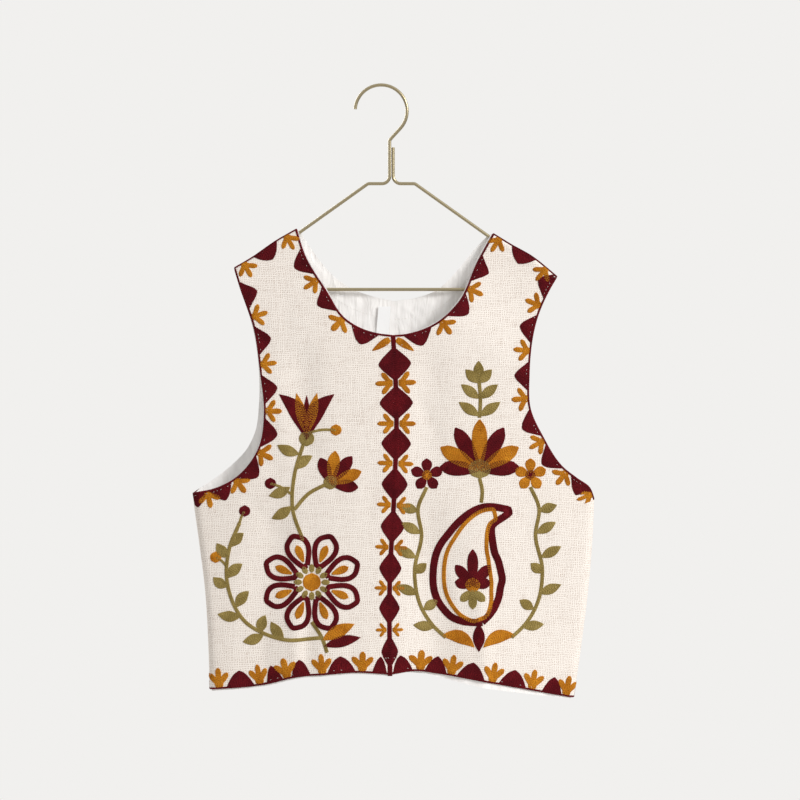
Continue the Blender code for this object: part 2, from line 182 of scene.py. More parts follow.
def smooth(knots, values, at):
    """Reads a smooth line through the knots. It stays level past their ends."""
    slopes = np.gradient(values, knots)
    i = np.clip(np.searchsorted(knots, at) - 1, 0, len(knots) - 2)
    step = knots[i + 1] - knots[i]
    t = np.clip((at - knots[i]) / step, 0, 1)
    start = (1 + 2 * t) * (1 - t) ** 2 * values[i] + t * (1 - t) ** 2 * step * slopes[i]
    end = t**2 * (3 - 2 * t) * values[i + 1] - t**2 * (1 - t) * step * slopes[i + 1]
    return start + end


def ease(share):
    share = np.clip(share, 0, 1)
    return share * share * (3 - 2 * share)


def body(name, z):
    rows = np.array(BODY, float)
    return smooth(rows[:, 0], rows[:, BODY_COLUMNS.index(name)], z)


def shoulder_z(x):
    rows = np.array(SHOULDER, float)
    return smooth(rows[:, 0], rows[:, 1], x)


def middle_and_half(z):
    return (body("right", z) + body("left", z)) / 2, (body("left", z) - body("right", z)) / 2


def fold_depth(face, x, z):
    """How far the folds and creases take the cloth in at a point."""
    total = 0.0
    for row in FOLDS[face]:
        fold = dict(zip(FOLD_COLUMNS, row))
        run = (fold["z_top"] - z) / (fold["z_top"] - fold["z_bottom"])
        middle = fold["x_top"] + (fold["x_bottom"] - fold["x_top"]) * run
        inside = ease(run / FOLD_FADE) * ease((1 - run) / FOLD_FADE)
        total = total + fold["depth"] * inside * np.exp(-(((x - middle) / fold["half_width"]) ** 2))
    return total


def lay_flat(x, z):
    """Turns a point seen from the front into the cloth's own (across, up), with both bends rolled out."""
    middle, half = middle_and_half(z)
    straight = half - SIDE_ROLL
    past = np.clip((np.abs(x - middle) - straight) / SIDE_ROLL, 0, 1)
    across = np.minimum(np.abs(x - middle), straight) + SIDE_ROLL * np.arcsin(past)
    drop = np.maximum(shoulder_z(x) - z, 0)
    rolled = SHOULDER_ROLL * np.arccos(1 - np.minimum(drop, SHOULDER_ROLL) / SHOULDER_ROLL)
    run = rolled + np.maximum(drop - SHOULDER_ROLL, 0)
    return np.sign(x - middle) * across, shoulder_z(x) - run


def drape(face, across, up):
    """The outer cloth's surface: (x, y, z) of the flat cloth's point, hung over the hanger."""
    half_roll = math.pi / 2
    middle, half = middle_and_half(up + SHOULDER_ROLL * (half_roll - 1))
    straight = half - SIDE_ROLL
    turn = np.clip((np.abs(across) - straight) / SIDE_ROLL, 0, half_roll)
    out = np.minimum(np.abs(across), straight) + SIDE_ROLL * np.sin(turn)
    x = middle + np.sign(across) * out
    run = np.maximum(shoulder_z(x) - up, 0)
    over = np.clip(run / SHOULDER_ROLL, 0, half_roll)
    drop = SHOULDER_ROLL * (1 - np.cos(over)) + np.maximum(run - SHOULDER_ROLL * half_roll, 0)
    z = shoulder_z(x) - drop
    bow = body("front_bow" if face == FRONT else "back_bow", z)
    side = 1 - (out / half) ** BOW_POWER
    full = SIDE_ROLL * np.cos(turn) + (bow - fold_depth(face, x, z)) * side
    share = ease((drop - SHOULDER_ROLL) / FULL_DEPTH_BELOW)
    y = SHOULDER_ROLL * np.sin(over) * (1 - share) + full * share
    return np.stack([x, face * y, z], axis=-1)


def outward(face, across, up):
    """The cloth's own outward direction."""
    along = drape(face, across + PROBE, up) - drape(face, across - PROBE, up)
    rise = drape(face, across, up + PROBE) - drape(face, across, up - PROBE)
    way = -face * np.cross(along, rise)
    return way / np.linalg.norm(way, axis=-1, keepdims=True)


def layer(face, across, up, inward):
    """The surface moved in along its outward direction, and kept clear of the other face's seam."""
    point = drape(face, across, up) - outward(face, across, up) * np.expand_dims(inward, -1)
    point[..., 1] = face * np.maximum(face * point[..., 1], SEAM_AIR / 2)
    return point


def placed(points):
    """Points of the waistcoat, in millimetres from its middle, as metres in the row's frame."""
    return (points + np.array([MIDDLE_X, 0, 0])) * MM


def run_along(points):
    """How far along a line each of its points lies."""
    return np.concatenate([[0], np.cumsum(np.linalg.norm(np.diff(points, axis=0), axis=1))])


def read_line(at, run, line):
    """The points that lie so far along a line."""
    return np.stack([np.interp(at, run, line[:, 0]), np.interp(at, run, line[:, 1])], axis=-1)


def curve(points, step=1.0, count=None):
    """Even points on a smooth curve through the given ones."""
    points = np.array(points, float)
    run = run_along(points)
    count = count or max(3, round(run[-1] / step) + 1)
    at = np.linspace(0, run[-1], count)
    return np.column_stack([smooth(run, points[:, 0], at), smooth(run, points[:, 1], at)])


def towards(points, middle, reach):
    """Moves an edge's points by reach towards the middle of the opening that it goes round."""
    way = np.array(middle, float) - points
    return points + way * reach / np.linalg.norm(way, axis=1, keepdims=True)


def half_panel(face, side, reach_opening=0.0, reach_hem=0.0, coarse=1, hems=HEM):
    """One half of a panel as a grid of flat points, from hem to shoulder and from the middle outwards."""
    rows_centre, rows_neck, rows_side, rows_armhole, columns = (
        count // coarse for count in (ROWS_CENTRE, ROWS_NECK, ROWS_SIDE, ROWS_ARMHOLE, COLUMNS)
    )
    centre = curve(CENTRE_LINE[face], count=rows_centre + 1)
    centre[0, 1] -= reach_hem
    neck = towards(curve(NECK[face, side], count=rows_neck + 1), NECK_MIDDLE, reach_opening)
    if face == FRONT:
        centre[:, 0] += side * SEAM_AIR / 2
        neck[0, 0] += side * SEAM_AIR / 2
    inner = np.concatenate([centre[:-1], neck])
    armhole = towards(curve(ARMHOLE[face, side], count=rows_armhole + 1), ARMHOLE_MIDDLE[side], reach_opening)
    seam_z = np.linspace(hems[face, side][-1][1] - reach_hem, armhole[0, 1], rows_side + 1)
    seam = np.column_stack([body(WORN[side], seam_z), seam_z])
    outer = np.concatenate([seam[:-1], armhole])
    inner = np.column_stack(lay_flat(inner[:, 0], inner[:, 1]))
    outer = np.column_stack(lay_flat(outer[:, 0], outer[:, 1]))
    shares = np.linspace(0, 1, columns + 1)[None, :, None]
    grid = inner[:, None] + (outer - inner)[:, None] * shares

    # The lowest rows bend to the hem, and the highest to the shoulder.
    hem = np.array(hems[face, side], float)
    hem_x = drape(face, grid[0, :, 0], grid[0, :, 1])[:, 0]
    hem_z = smooth(side * hem[:, 0], hem[:, 1], side * hem_x) - reach_hem
    top_x = drape(face, grid[-1, :, 0], grid[-1, :, 1])[:, 0]
    hem_bend = lay_flat(hem_x, hem_z)[1] - grid[0, :, 1]
    top_bend = shoulder_z(top_x) - grid[-1, :, 1]
    rows = np.arange(len(grid))[:, None]
    grid[:, :, 1] += hem_bend * np.clip(1 - rows / rows_side, 0, 1)
    grid[:, :, 1] += top_bend * ease((rows - rows_centre) / rows_neck)
    return grid


def new_cloth(name, face, patches, depth, wall, material):
    """A thin closed shell of cloth. Its UV map holds the flat cloth's millimetres, so a weave follows it."""
    shape = bmesh.new()
    across = shape.verts.layers.float.new("across")
    up = shape.verts.layers.float.new("up")

    def place(verts, further):
        flat = np.array([(vert[across], vert[up]) for vert in verts], float)
        inward = depth(flat[:, 0], flat[:, 1]) + further
        for vert, point in zip(verts, placed(layer(face, flat[:, 0], flat[:, 1], inward))):
            vert.co = point

    for patch in patches:
        rows, columns = len(patch) - 1, len(patch[0]) - 1
        made = bmesh.ops.create_grid(shape, x_segments=columns, y_segments=rows, size=0.5)["verts"]
        for vert in made:
            point = patch[round((vert.co.y + 0.5) * rows), round((vert.co.x + 0.5) * columns)]
            vert[across], vert[up] = point
            vert.co = (*point, 0)
    bmesh.ops.remove_doubles(shape, verts=shape.verts[:], dist=WELD)
    place(shape.verts[:], 0)
    wall_side = bmesh.ops.extrude_face_region(shape, geom=shape.faces[:])
    place([item for item in wall_side["geom"] if isinstance(item, bmesh.types.BMVert)], wall)
    bmesh.ops.recalc_face_normals(shape, faces=shape.faces[:])
    weave = shape.loops.layers.uv.new("weave")
    for shape_face in shape.faces:
        for loop in shape_face.loops:
            loop[weave].uv = (loop.vert[across], loop.vert[up])
    shape.verts.layers.float.remove(up)
    shape.verts.layers.float.remove(shape.verts.layers.float["across"])
    return new_piece(name, shape, material)


def new_piece(name, shape, material, sharp=60):
    """A smooth-shaded piece from a bmesh or a mesh, riding on the one body."""
    mesh = shape
    if isinstance(shape, bmesh.types.BMesh):
        mesh = bpy.data.meshes.new(name)
        shape.to_mesh(mesh)
        shape.free()
    mesh.shade_smooth()
    mesh.set_sharp_from_angle(angle=math.radians(sharp))
    mesh.materials.append(material)
    piece = bpy.data.objects.new(name, mesh)
    bpy.context.scene.collection.objects.link(piece)
    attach(piece, "root")
    return piece


def colour(code):
    """An sRGB hex colour as linear RGBA."""
    parts = [int(code[i : i + 2], 16) / 255 for i in (1, 3, 5)]
    return (*[part / 12.92 if part < 0.04045 else ((part + 0.055) / 1.055) ** 2.4 for part in parts], 1.0)


def feed(owner, node, inputs):
    """Sets a node's inputs, each to a value or by a link from another node's output."""
    for socket, value in inputs.items():
        if isinstance(value, bpy.types.NodeSocket):
            owner.node_tree.links.new(value, node.inputs[socket])
        else:
            node.inputs[socket].default_value = value


def add_node(owner, kind, inputs, wanted=0, **settings):
    """Adds a shader node with its settings and links, and gives back the output that is wanted."""
    node = owner.node_tree.nodes.new(f"ShaderNode{kind}")
    for name, value in settings.items():
        setattr(node, name, value)
    feed(owner, node, inputs)
    return node.outputs[wanted]


def finish(material, inputs):
    """Sets or links the inputs of a material's own shader."""
    feed(material, material.node_tree.nodes["Principled BSDF"], inputs)


def new_material(name, inputs):
    material = bpy.data.materials.new(name)
    material.use_nodes = True
    finish(material, inputs)
    return material


MIX_A, MIX_B, MIXED = 6, 7, 2  # the colour sockets of a Mix node


def weave_height(material, pitch, wander, slub):
    """A plain weave's height from 0 to 1, on the flat cloth's millimetres. Its yarns wander and swell."""
    flat = add_node(material, "UVMap", {}, uv_map="weave")
    drift = {"Vector": flat, "Scale": 0.05, "Detail": 4.0, "Roughness": 0.62}
    drift = add_node(material, "TexNoise", drift, "Color")
    moved = add_node(material, "VectorMath", {0: drift, 1: (wander,) * 3, 2: flat}, operation="MULTIPLY_ADD")
    across = add_node(material, "SeparateXYZ", {0: moved}, "X")
    up = across.node.outputs["Y"]
    turn = math.pi / pitch
    yarns = []
    for way, (along, cross) in enumerate(((up, across), (across, up))):
        # Each yarn is round, and has its own number
        rounded = add_node(material, "Math", {0: cross, 1: turn}, operation="MULTIPLY")
        rounded = add_node(material, "Math", {0: rounded}, operation="SINE")
        rounded = add_node(material, "Math", {0: rounded}, operation="ABSOLUTE")
        number = add_node(material, "Math", {0: cross, 1: pitch}, operation="DIVIDE")
        number = add_node(material, "Math", {0: number}, operation="FLOOR")
        # It goes over and under the yarns that cross it, the next one the other way about
        shift = add_node(material, "Math", {0: number, 1: float(way)}, operation="ADD")
        shift = add_node(material, "Math", {0: shift, 1: math.pi}, operation="MULTIPLY")
        over = add_node(material, "Math", {0: along, 1: turn, 2: shift}, operation="MULTIPLY_ADD")
        over = add_node(material, "Math", {0: over}, operation="COSINE")
        over = add_node(material, "Math", {0: over, 1: 0.10, 2: 0.90}, operation="MULTIPLY_ADD")
        # It swells and thins slowly along its length
        slow = add_node(material, "Math", {0: along, 1: 0.05}, operation="MULTIPLY")
        place = add_node(material, "CombineXYZ", {0: number, 1: slow, 2: 7.0 * way})
        swell = add_node(material, "TexNoise", {"Vector": place, "Scale": 0.9, "Detail": 2.0})
        swell = add_node(material, "Math", {0: swell, 1: slub, 2: 1 - slub / 2}, operation="MULTIPLY_ADD")
        height = add_node(material, "Math", {0: rounded, 1: over}, operation="MULTIPLY")
        yarns.append(add_node(material, "Math", {0: height, 1: swell}, operation="MULTIPLY"))
    return add_node(material, "Math", {0: yarns[0], 1: yarns[1]}, operation="MAXIMUM")


# Slub cotton, hand-woven: yarns about 2 mm apart that swell and thin, with painted shade in the small
# gaps where four of them meet. It looks matt and grainy, and the shade is warm where the gaps lie close.
slub_cotton = new_material("hand_woven_slub_cotton", {"Roughness": 0.92, "Specular IOR Level": 0.2})
cotton_height = weave_height(slub_cotton, pitch=2.0, wander=7.0, slub=1.5)
# Painted shade: the colour goes dark and warm where the weave is low, in its gaps, and light on its high
# yarns
cotton_painted_gap_shade_mask = add_node(slub_cotton, "MapRange", {"Value": cotton_height, "From Min": 0.22, "From Max": 0.74})
cotton_yarn_and_painted_gap_shade = {0: cotton_painted_gap_shade_mask, MIX_A: colour("#b7a496"), MIX_B: colour("#f7efe7")}
cotton_colour_with_painted_gap_shade = add_node(slub_cotton, "Mix", cotton_yarn_and_painted_gap_shade, MIXED, data_type="RGBA")
cotton_bump = add_node(slub_cotton, "Bump", {"Height": cotton_height, "Strength": 0.6, "Distance": 0.0005})
finish(slub_cotton, {"Base Color": cotton_colour_with_painted_gap_shade, "Normal": cotton_bump})


def on_surface(across, up):
    return np.zeros_like(across)


for side in (RIGHT, LEFT):
    name = f"front_{WORN[side]}"
    piece = new_cloth(f"cloth_{name}", FRONT, [half_panel(FRONT, side)], on_surface, CLOTH_WALL, slub_cotton)
    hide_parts(name)
back_halves = [half_panel(BACK, side) for side in (RIGHT, LEFT)]
piece = new_cloth("cloth_back", BACK, back_halves, on_surface, CLOTH_WALL, slub_cotton)
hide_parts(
    "back", "back_side_right", "back_side_left", "back_chest",
    "back_shoulder_right", "back_shoulder_left",
)

# Lining
# Thin white cotton, cut like the outer cloth and sewn to it round every edge, where a sliver of it shows. It
# is looser than the cloth and crinkled from washing, and a row of stitches holds it down round the back neck.
LINING_AIR = 0.45
LINING_WALL = 1.0
LINING_REACH_OPENING = 1.0
LINING_REACH_HEM = 2.5
CREASE_HEIGHT, CRINKLE_HEIGHT = 0.95, 0.14
SWELL_MIDDLE, SWELL_RANGE = 0.62, 0.38  # the share of the creases' height that stands, from place to place
CRINKLED_UP_TO = 1.4  # crinkles are highest where the creases are low
FLAT_BAND = (5.0, 16.0)  # the lining is held flat along the back neck, and gathers from here to here below it
FLAT_SHOULDER = (10.0, 70.0)  # and so it is along the shoulders, over the hanger's arms
# The left front's lining has dropped, and shows as a crescent under the hem
LINING_HEM = dict(HEM)
LINING_HEM[FRONT, LEFT] = ((-1.5, -680), (28, -676.5), (55, -683), (93, -692.5), (158, -703), (212.5, -710))

# Washed cotton lawn: a close weave of fine yarns, drawn 0.8 mm apart so that it just shows. It looks smooth,
# white and matt, with faint painted shade in the weave's gaps and grey painted shade in the gathers.
soft_cotton = new_material("washed_cotton_lawn", {"Roughness": 0.85, "Sheen Weight": 0.1})
lawn_height = weave_height(soft_cotton, pitch=0.8, wander=1.0, slub=0.5)
# Painted shade: the weave's low gaps are a little darker than its yarns
lawn_yarn_and_painted_gap_shade = {0: lawn_height, MIX_A: colour("#f7f3f0"), MIX_B: colour("#fffdfb")}
lawn_colour_with_painted_gap_shade = add_node(soft_cotton, "Mix", lawn_yarn_and_painted_gap_shade, MIXED, data_type="RGBA")
# Its fine gathers are noise, drawn out along the cloth's length. The turn only picks another part of it.
lawn_flat = add_node(soft_cotton, "UVMap", {}, uv_map="weave")
lawn_long = {"Vector": lawn_flat, "Rotation": (0, 0, 0.28), "Scale": (1.0, 0.2, 1.0)}
lawn_long = add_node(soft_cotton, "Mapping", lawn_long)
lawn_gathers = {"Vector": lawn_long, "Scale": 0.13, "Detail": 2.0, "Distortion": 0.8}
lawn_gathers = add_node(soft_cotton, "TexNoise", lawn_gathers)
# Painted shade: the gathers' low parts are greyed in the colour, on top of their bump
lawn_painted_gather_shade_mask = {"Value": lawn_gathers, "From Min": 0.32, "From Max": 0.5, "To Min": 0.26, "To Max": 0.0}
lawn_painted_gather_shade_mask = add_node(soft_cotton, "MapRange", lawn_painted_gather_shade_mask)
lawn_colour_with_painted_gather_shade = {0: lawn_painted_gather_shade_mask, MIX_A: lawn_colour_with_painted_gap_shade, MIX_B: colour("#d9d2cf")}
lawn_colour_with_painted_gather_shade = add_node(soft_cotton, "Mix", lawn_colour_with_painted_gather_shade, MIXED, data_type="RGBA")
lawn_gathered = add_node(soft_cotton, "Bump", {"Height": lawn_gathers, "Strength": 0.9, "Distance": 0.0017})
lawn_bump = {"Height": lawn_height, "Strength": 0.25, "Distance": 0.0002, "Normal": lawn_gathered}
finish(soft_cotton, {"Base Color": lawn_colour_with_painted_gather_shade, "Normal": add_node(soft_cotton, "Bump", lawn_bump)})


def wave(across, up, per_across, per_up, sway=0.0):
    """A wave over the flat cloth, by how far it turns in each millimetre across and up."""
    return np.sin(across * per_across + up * per_up + sway)


def share_between(value, limits):
    """From 0 at the first limit to 1 at the second one, with soft ends."""
    return ease((value - limits[0]) / (limits[1] - limits[0]))


def lining_depth(across, up):
    """How far in the lining lies, with slanting creases and finer crinkles, and flat along the back neck."""
    bends = 1.9 * wave(across, up, 0.021, 0.052) + 1.1 * wave(across, up, 0.047, 0)
    crease = 1 + wave(across, up, 0.25, -0.16, bends)
    crinkle = 1 + wave(across, up, 0.43, 0.31, 1.7 * wave(across, up, -0.06, 0.09))
    swell = SWELL_MIDDLE + SWELL_RANGE * wave(across, up, 0.043, 0.057, 1)
    gathers = CREASE_HEIGHT * swell * crease + CRINKLE_HEIGHT * (CRINKLED_UP_TO - swell) * crinkle
    neck = np.array(NECK[BACK, RIGHT][::-1] + NECK[BACK, LEFT][1:], float)
    below = np.interp(across, neck[:, 0], neck[:, 1]) - up
    free = share_between(below, FLAT_BAND) * share_between(shoulder_z(across) - up, FLAT_SHOULDER)
    return CLOTH_WALL + LINING_AIR + gathers * free


for side in (RIGHT, LEFT):
    patch = half_panel(FRONT, side, LINING_REACH_OPENING, LINING_REACH_HEM, coarse=2, hems=LINING_HEM)
    piece = new_cloth(f"lawn_front_{WORN[side]}", FRONT, [patch], lining_depth, LINING_WALL, soft_cotton)
    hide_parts(f"lining_front_{WORN[side]}")
lining_halves = [half_panel(BACK, side, LINING_REACH_OPENING, LINING_REACH_HEM) for side in (RIGHT, LEFT)]
lawn_back = new_cloth("lawn_back", BACK, lining_halves, lining_depth, LINING_WALL, soft_cotton)
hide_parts("lining_back")

# Label
# A blank white satin ribbon, sewn to the back lining under the neck by its upper edge, so its lower end is
# free. It leans a little to the wearer's right on its way down.
LABEL_TOP = (-8.0, -256.0)
LABEL_WIDTH, LABEL_LENGTH = 14.5, 36.0
LABEL_LEAN = -2.8
LABEL_WALL = 0.6
LABEL_DEPTH = 5.1
LABEL_CURL = 0.9
LABEL_ROWS, LABEL_COLUMNS = 14, 6

# Woven polyester satin: its long floats lie side by side, so it looks brighter and smoother than the cotton
satin_looks = {"Base Color": colour("#ffffff"), "Roughness": 0.45, "Sheen Weight": 0.6}
satin = new_material("white_satin_ribbon", satin_looks)


def label_depth(across, up):
    """The ribbon stands off the lining a little more towards its free end."""
    return LABEL_DEPTH + LABEL_CURL * ((lay_flat(*np.array(LABEL_TOP))[1] - up) / LABEL_LENGTH) ** 2


top_across, top_up = lay_flat(*np.array(LABEL_TOP))
label_down = np.linspace(1, 0, LABEL_ROWS + 1)[:, None]
label_across = top_across + label_down * LABEL_LEAN + np.linspace(-0.5, 0.5, LABEL_COLUMNS + 1) * LABEL_WIDTH
label_up = np.broadcast_to(top_up - label_down * LABEL_LENGTH, label_across.shape)
label_patch = np.stack([label_across, label_up], axis=-1)
ribbon = new_cloth("satin_label", BACK, [label_patch], label_depth, LABEL_WALL, satin)
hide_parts("label")

# Hanger
# One steel wire with a dull brass finish, bent by machine: it runs from the hook down one side of the neck,
# round the frame, and back up beside itself.
WIRE_RADIUS = 1.9
STRAND_X = 2.05
HOOK_RADIUS = 30.3
HOOK_TIP_ANGLE, HOOK_END_ANGLE = 176.0, -43.5
SHANK_TOP_Z, SHANK_BEND = -62.4, 5.0
STRAND_TOP_Z = -71.0
YOKE_Z, YOKE_BEND = -113.2, 9.0
YOKE_HALF_WIDTH, ARM_BEND = 27.3, 6.0
ARM_SLOPE = 35.5
BAR_Z, BAR_BEND = -236.5, 14.2
BEND_STEP = 5.0
WIRE_SIDES = 4


def arc(middle, radius, first, last):
    """Points round a bend in the hanger's plane, at even steps between two angles in degrees."""
    steps = max(2, math.ceil(abs(last - first) / BEND_STEP))
    turns = [math.radians(first + (last - first) * i / steps) for i in range(steps + 1)]
    return [Vector(middle) + Vector((math.cos(turn), math.sin(turn))) * radius for turn in turns]


def bent(corners):
    """A wire's points: straight runs between the corners, each an (x, z) with the radius of its bend."""
    points = [Vector(corners[0][0])]
    for (before, _), (corner, radius), (after, _) in zip(corners, corners[1:], corners[2:]):
        back = (Vector(before) - Vector(corner)).normalized()
        on = (Vector(after) - Vector(corner)).normalized()
        half = back.angle(on) / 2
        middle = Vector(corner) + (back + on).normalized() * (radius / math.sin(half))
        start = Vector(corner) + back * (radius / math.tan(half)) - middle
        end = Vector(corner) + on * (radius / math.tan(half)) - middle
        first = math.degrees(math.atan2(start.y, start.x))
        turn = math.degrees(math.atan2(start.cross(end), start.dot(end)))
        points += arc(middle, radius, first, first + turn)
    return points + [Vector(corners[-1][0])]


foot_x = YOKE_HALF_WIDTH + (YOKE_Z - BAR_Z) / math.tan(math.radians(ARM_SLOPE))
hook = arc((-MIDDLE_X, WIRE_RADIUS - HOOK_RADIUS), HOOK_RADIUS, HOOK_TIP_ANGLE, HOOK_END_ANGLE)
wire_corners = [
    (hook[-1], 0),
    ((-STRAND_X, SHANK_TOP_Z), SHANK_BEND),
    ((-STRAND_X, YOKE_Z), YOKE_BEND),
    ((-YOKE_HALF_WIDTH, YOKE_Z), ARM_BEND),
    ((-foot_x, BAR_Z), BAR_BEND),
    ((foot_x, BAR_Z), BAR_BEND),
    ((YOKE_HALF_WIDTH, YOKE_Z), ARM_BEND),
    ((STRAND_X, YOKE_Z), YOKE_BEND),
    ((STRAND_X, STRAND_TOP_Z), 0),
]
wire_points = hook[:-1] + bent(wire_corners)
wire_curve = bpy.data.curves.new("wire_route", "CURVE")
wire_curve.dimensions = "3D"
wire_curve.bevel_depth = WIRE_RADIUS * MM
wire_curve.bevel_resolution = WIRE_SIDES
wire_curve.use_fill_caps = True
wire_line = wire_curve.splines.new("POLY")
wire_line.points.add(len(wire_points) - 1)
wire_line.use_smooth = True
for place, (x, z) in zip(wire_line.points, wire_points):
    place.co = ((x + MIDDLE_X) * MM, 0, z * MM, 1)
wire_route = bpy.data.objects.new("wire_route", wire_curve)
wire_mesh = bpy.data.meshes.new_from_object(wire_route)
wire_mesh.materials.clear()
bpy.data.objects.remove(wire_route)

# Drawn steel wire with a thin brass plating: a pale, greyish gold, a little dull, in specks about 1 mm wide
brassed_steel = new_material("brass_finished_steel", {"Metallic": 1.0, "Base Color": colour("#b5a888")})
specks = {"Vector": add_node(brassed_steel, "TexCoord", {}, "Object"), "Scale": 900.0, "Detail": 2.0}
dullness = {"Value": add_node(brassed_steel, "TexNoise", specks), "To Min": 0.26, "To Max": 0.4}
finish(brassed_steel, {"Roughness": add_node(brassed_steel, "MapRange", dullness)})
hanger = new_piece("hanger_wire", wire_mesh, brassed_steel)
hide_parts("hanger_hook", "hanger_strand", "hanger_arm_left", "hanger_arm_right", "hanger_bar")

# Embroidery
# Chain stitch in thick matt cotton: burgundy, ochre and olive. Each area is filled with rows that follow its
# edge inwards, so it stands about a millimetre proud. A row of half lozenges and sprigs borders every edge.
STITCH_ROW = 1.5
STITCH_LENGTH = 2.6
PAD_LIFT = 0.34
PAD_SINK = -0.3
STITCH_LIFT = 0.46
STITCH_HALF_HEIGHT = 0.38
PAD_STEP = 3.0
THINNEST = 0.12

worked_areas = {}  # (panel, thread): its grids of (x, z)
stitch_lines = {}  # (panel, thread): single stitches, as (starts, ends, lift, width)


def area(panel, thread, grid):
    worked_areas.setdefault((panel, thread), []).append(grid)


def leftwards(line):
    """The direction to the left of a line at each of its points."""
    way = np.gradient(line, axis=0)
    way /= np.linalg.norm(way, axis=1, keepdims=True)
    return np.column_stack([-way[:, 1], way[:, 0]])


def between(spine, half):
    """An area as a grid of points, along its spine and across between its two sides."""
    spine, half = np.array(spine, float), np.maximum(np.array(half, float), THINNEST)
    columns = 2 * max(1, math.ceil(half.max() / PAD_STEP)) + 1
    side = leftwards(spine)[:, None] * half[:, None, None]
    return spine[:, None] + side * np.linspace(-1, 1, columns)[None, :, None]


# Outlines of petals and leaves: their half widths at even steps from foot to tip, as shares of the widest
LEAF = (0.02, 0.40, 0.72, 0.93, 1.0, 0.93, 0.72, 0.42, 0.02)
LOBE = (0.86, 0.87, 0.89, 0.92, 0.96, 1.0, 1.0, 0.88, 0.34)
WEDGE = (0.62, 0.88, 1.0, 0.98, 0.90, 0.77, 0.60, 0.40, 0.12)
ROUND = (0.06, 0.66, 0.87, 0.97, 1.0, 0.97, 0.87, 0.66, 0.06)
PETAL = (0.22, 0.44, 0.66, 0.84, 0.96, 1.0, 0.93, 0.70, 0.10)
DOME = (1.0, 0.90, 0.79, 0.68, 0.58, 0.48, 0.38, 0.26, 0.07)
BLUNT_DOME = (1.0, 0.93, 0.86, 0.78, 0.69, 0.59, 0.47, 0.31, 0.05)
LOZENGE = (1.0, 0.895, 0.79, 0.685, 0.58, 0.475, 0.365, 0.24, 0.06)


def petal(base, angle, length, half_width, profile=PETAL, bend=0.0):
    """A petal, leaf or lobe from its base, at an angle in degrees from +X, bowed sideways by bend."""
    rows = max(7, math.ceil(length / PAD_STEP) + 1)
    t = np.linspace(0, 1, rows)
    way = np.array([math.cos(math.radians(angle)), math.sin(math.radians(angle))])
    across = np.array([-way[1], way[0]])
    spine = np.array(base, float) + way * length * t[:, None] + across * bend * np.sin(math.pi * t)[:, None]
    return between(spine, half_width * np.interp(t, np.linspace(0, 1, len(profile)), profile))


def stem(points, half_width, step=2.5):
    spine = curve(points, step)
    return between(spine, np.full(len(spine), half_width))


OUTLINED_STEP = 2.0


def outline_of(grid):
    return np.concatenate([grid[:, 0], grid[-1, 1:-1], grid[::-1, -1], grid[0, -2:0:-1]])


def outlined(grid, half_width):
    """A line of stitches round an area's edge, in place of the area."""
    ring = outline_of(grid)
    ring = np.concatenate([ring, ring[:2]])
    run = run_along(ring)
    line = read_line(np.linspace(0, run[-2], round(run[-2] / OUTLINED_STEP)), run, ring)
    return between(line, np.full(len(line), half_width))


# The border: each edge with its inner side, and where its half lozenges and sprigs are along it
EDGE_STEP = 0.5


def line_of(edge):
    line = curve(edge, EDGE_STEP)
    return line, leftwards(line), run_along(line)


def bordered(edge, inward, grid):
    """Bends a grid drawn as (run along the edge, depth into the cloth) onto the edge."""
    line, left, run = line_of(edge)
    at = np.clip(grid[..., 0], 0, run[-1])
    return read_line(at, run, line) + read_line(at, run, left) * inward * grid[..., 1:]


def shoulder_edge(side):
    x = np.linspace(*SHOULDER_ENDS[side], 12)
    return tuple(zip(x, shoulder_z(x)))


def side_edge(side):
    """The lowest centimetre of the side, where the hem's cord turns up."""
    low = HEM[FRONT, side][-1][1]
    z = np.linspace(low, low + 10, 5)
    return tuple(zip(body(WORN[side], z), z))


def sprig(edge, inward, panel, at, size=1.0, foot=1.0, spread=52):
    """Three ochre lobes that rise from one foot on the edge line."""
    shapes = [petal((at, foot), 90, 9.0 * size, 4.6 * size, WEDGE)]
    for angle, length in ((-spread, 15.5), (0, 17.5), (spread, 15.5)):
        base = (at, foot + 2.6 * size)
        shapes.append(petal(base, 90 + angle, length * size, 3.0 * size, LOBE))
    for shape in shapes:
        area(panel, "ochre", bordered(edge, inward, shape))


DOME_FOOT = 0.4
CLEAR_OF_CENTRE = 3.5  # of a hem's first half lozenge


def domes(edge, inward, panel, places, sprigs, widest, room, height, profile):
    """Burgundy half lozenges that stand on the edge line, narrower where the next one or a sprig is near."""
    for i, at in enumerate(places):
        gaps = [abs(at - other) for other in places[max(0, i - 1) : i + 2] if other != at]
        half = min(widest, 0.5 * min(gaps), min(abs(at - other) for other in sprigs) - room)
        if room > 0:
            half = min(half, at - CLEAR_OF_CENTRE)
        shape = petal((at, DOME_FOOT), 90, height, half, profile)
        area(panel, "burgundy", bordered(edge, inward, shape))


def whole(halves):
    """The back's edge from its right end to its left one."""
    return halves[BACK, RIGHT][::-1] + halves[BACK, LEFT][1:]


# Each edge: its name, face and side, its panel, its line, and 1 where the cloth lies to the left of that line
EDGES = [("neck", BACK, 0, "back", whole(NECK), -1), ("hem", BACK, 0, "back", whole(HEM), 1)]
for side in (RIGHT, LEFT):
    front = f"front_{WORN[side]}"
    EDGES += [
        ("armhole", FRONT, side, front, ARMHOLE[FRONT, side], side),
        ("armhole", BACK, side, "back", ARMHOLE[BACK, side], side),
        ("neck", FRONT, side, front, NECK[FRONT, side], -side),
        ("hem", FRONT, side, front, HEM[FRONT, side], side),
        ("shoulder", FRONT, side, front, shoulder_edge(side), -side),
        ("shoulder", BACK, side, "back", shoulder_edge(side), -side),
        ("centre", FRONT, side, front, CENTRE_LINE[FRONT], -side),
    ]

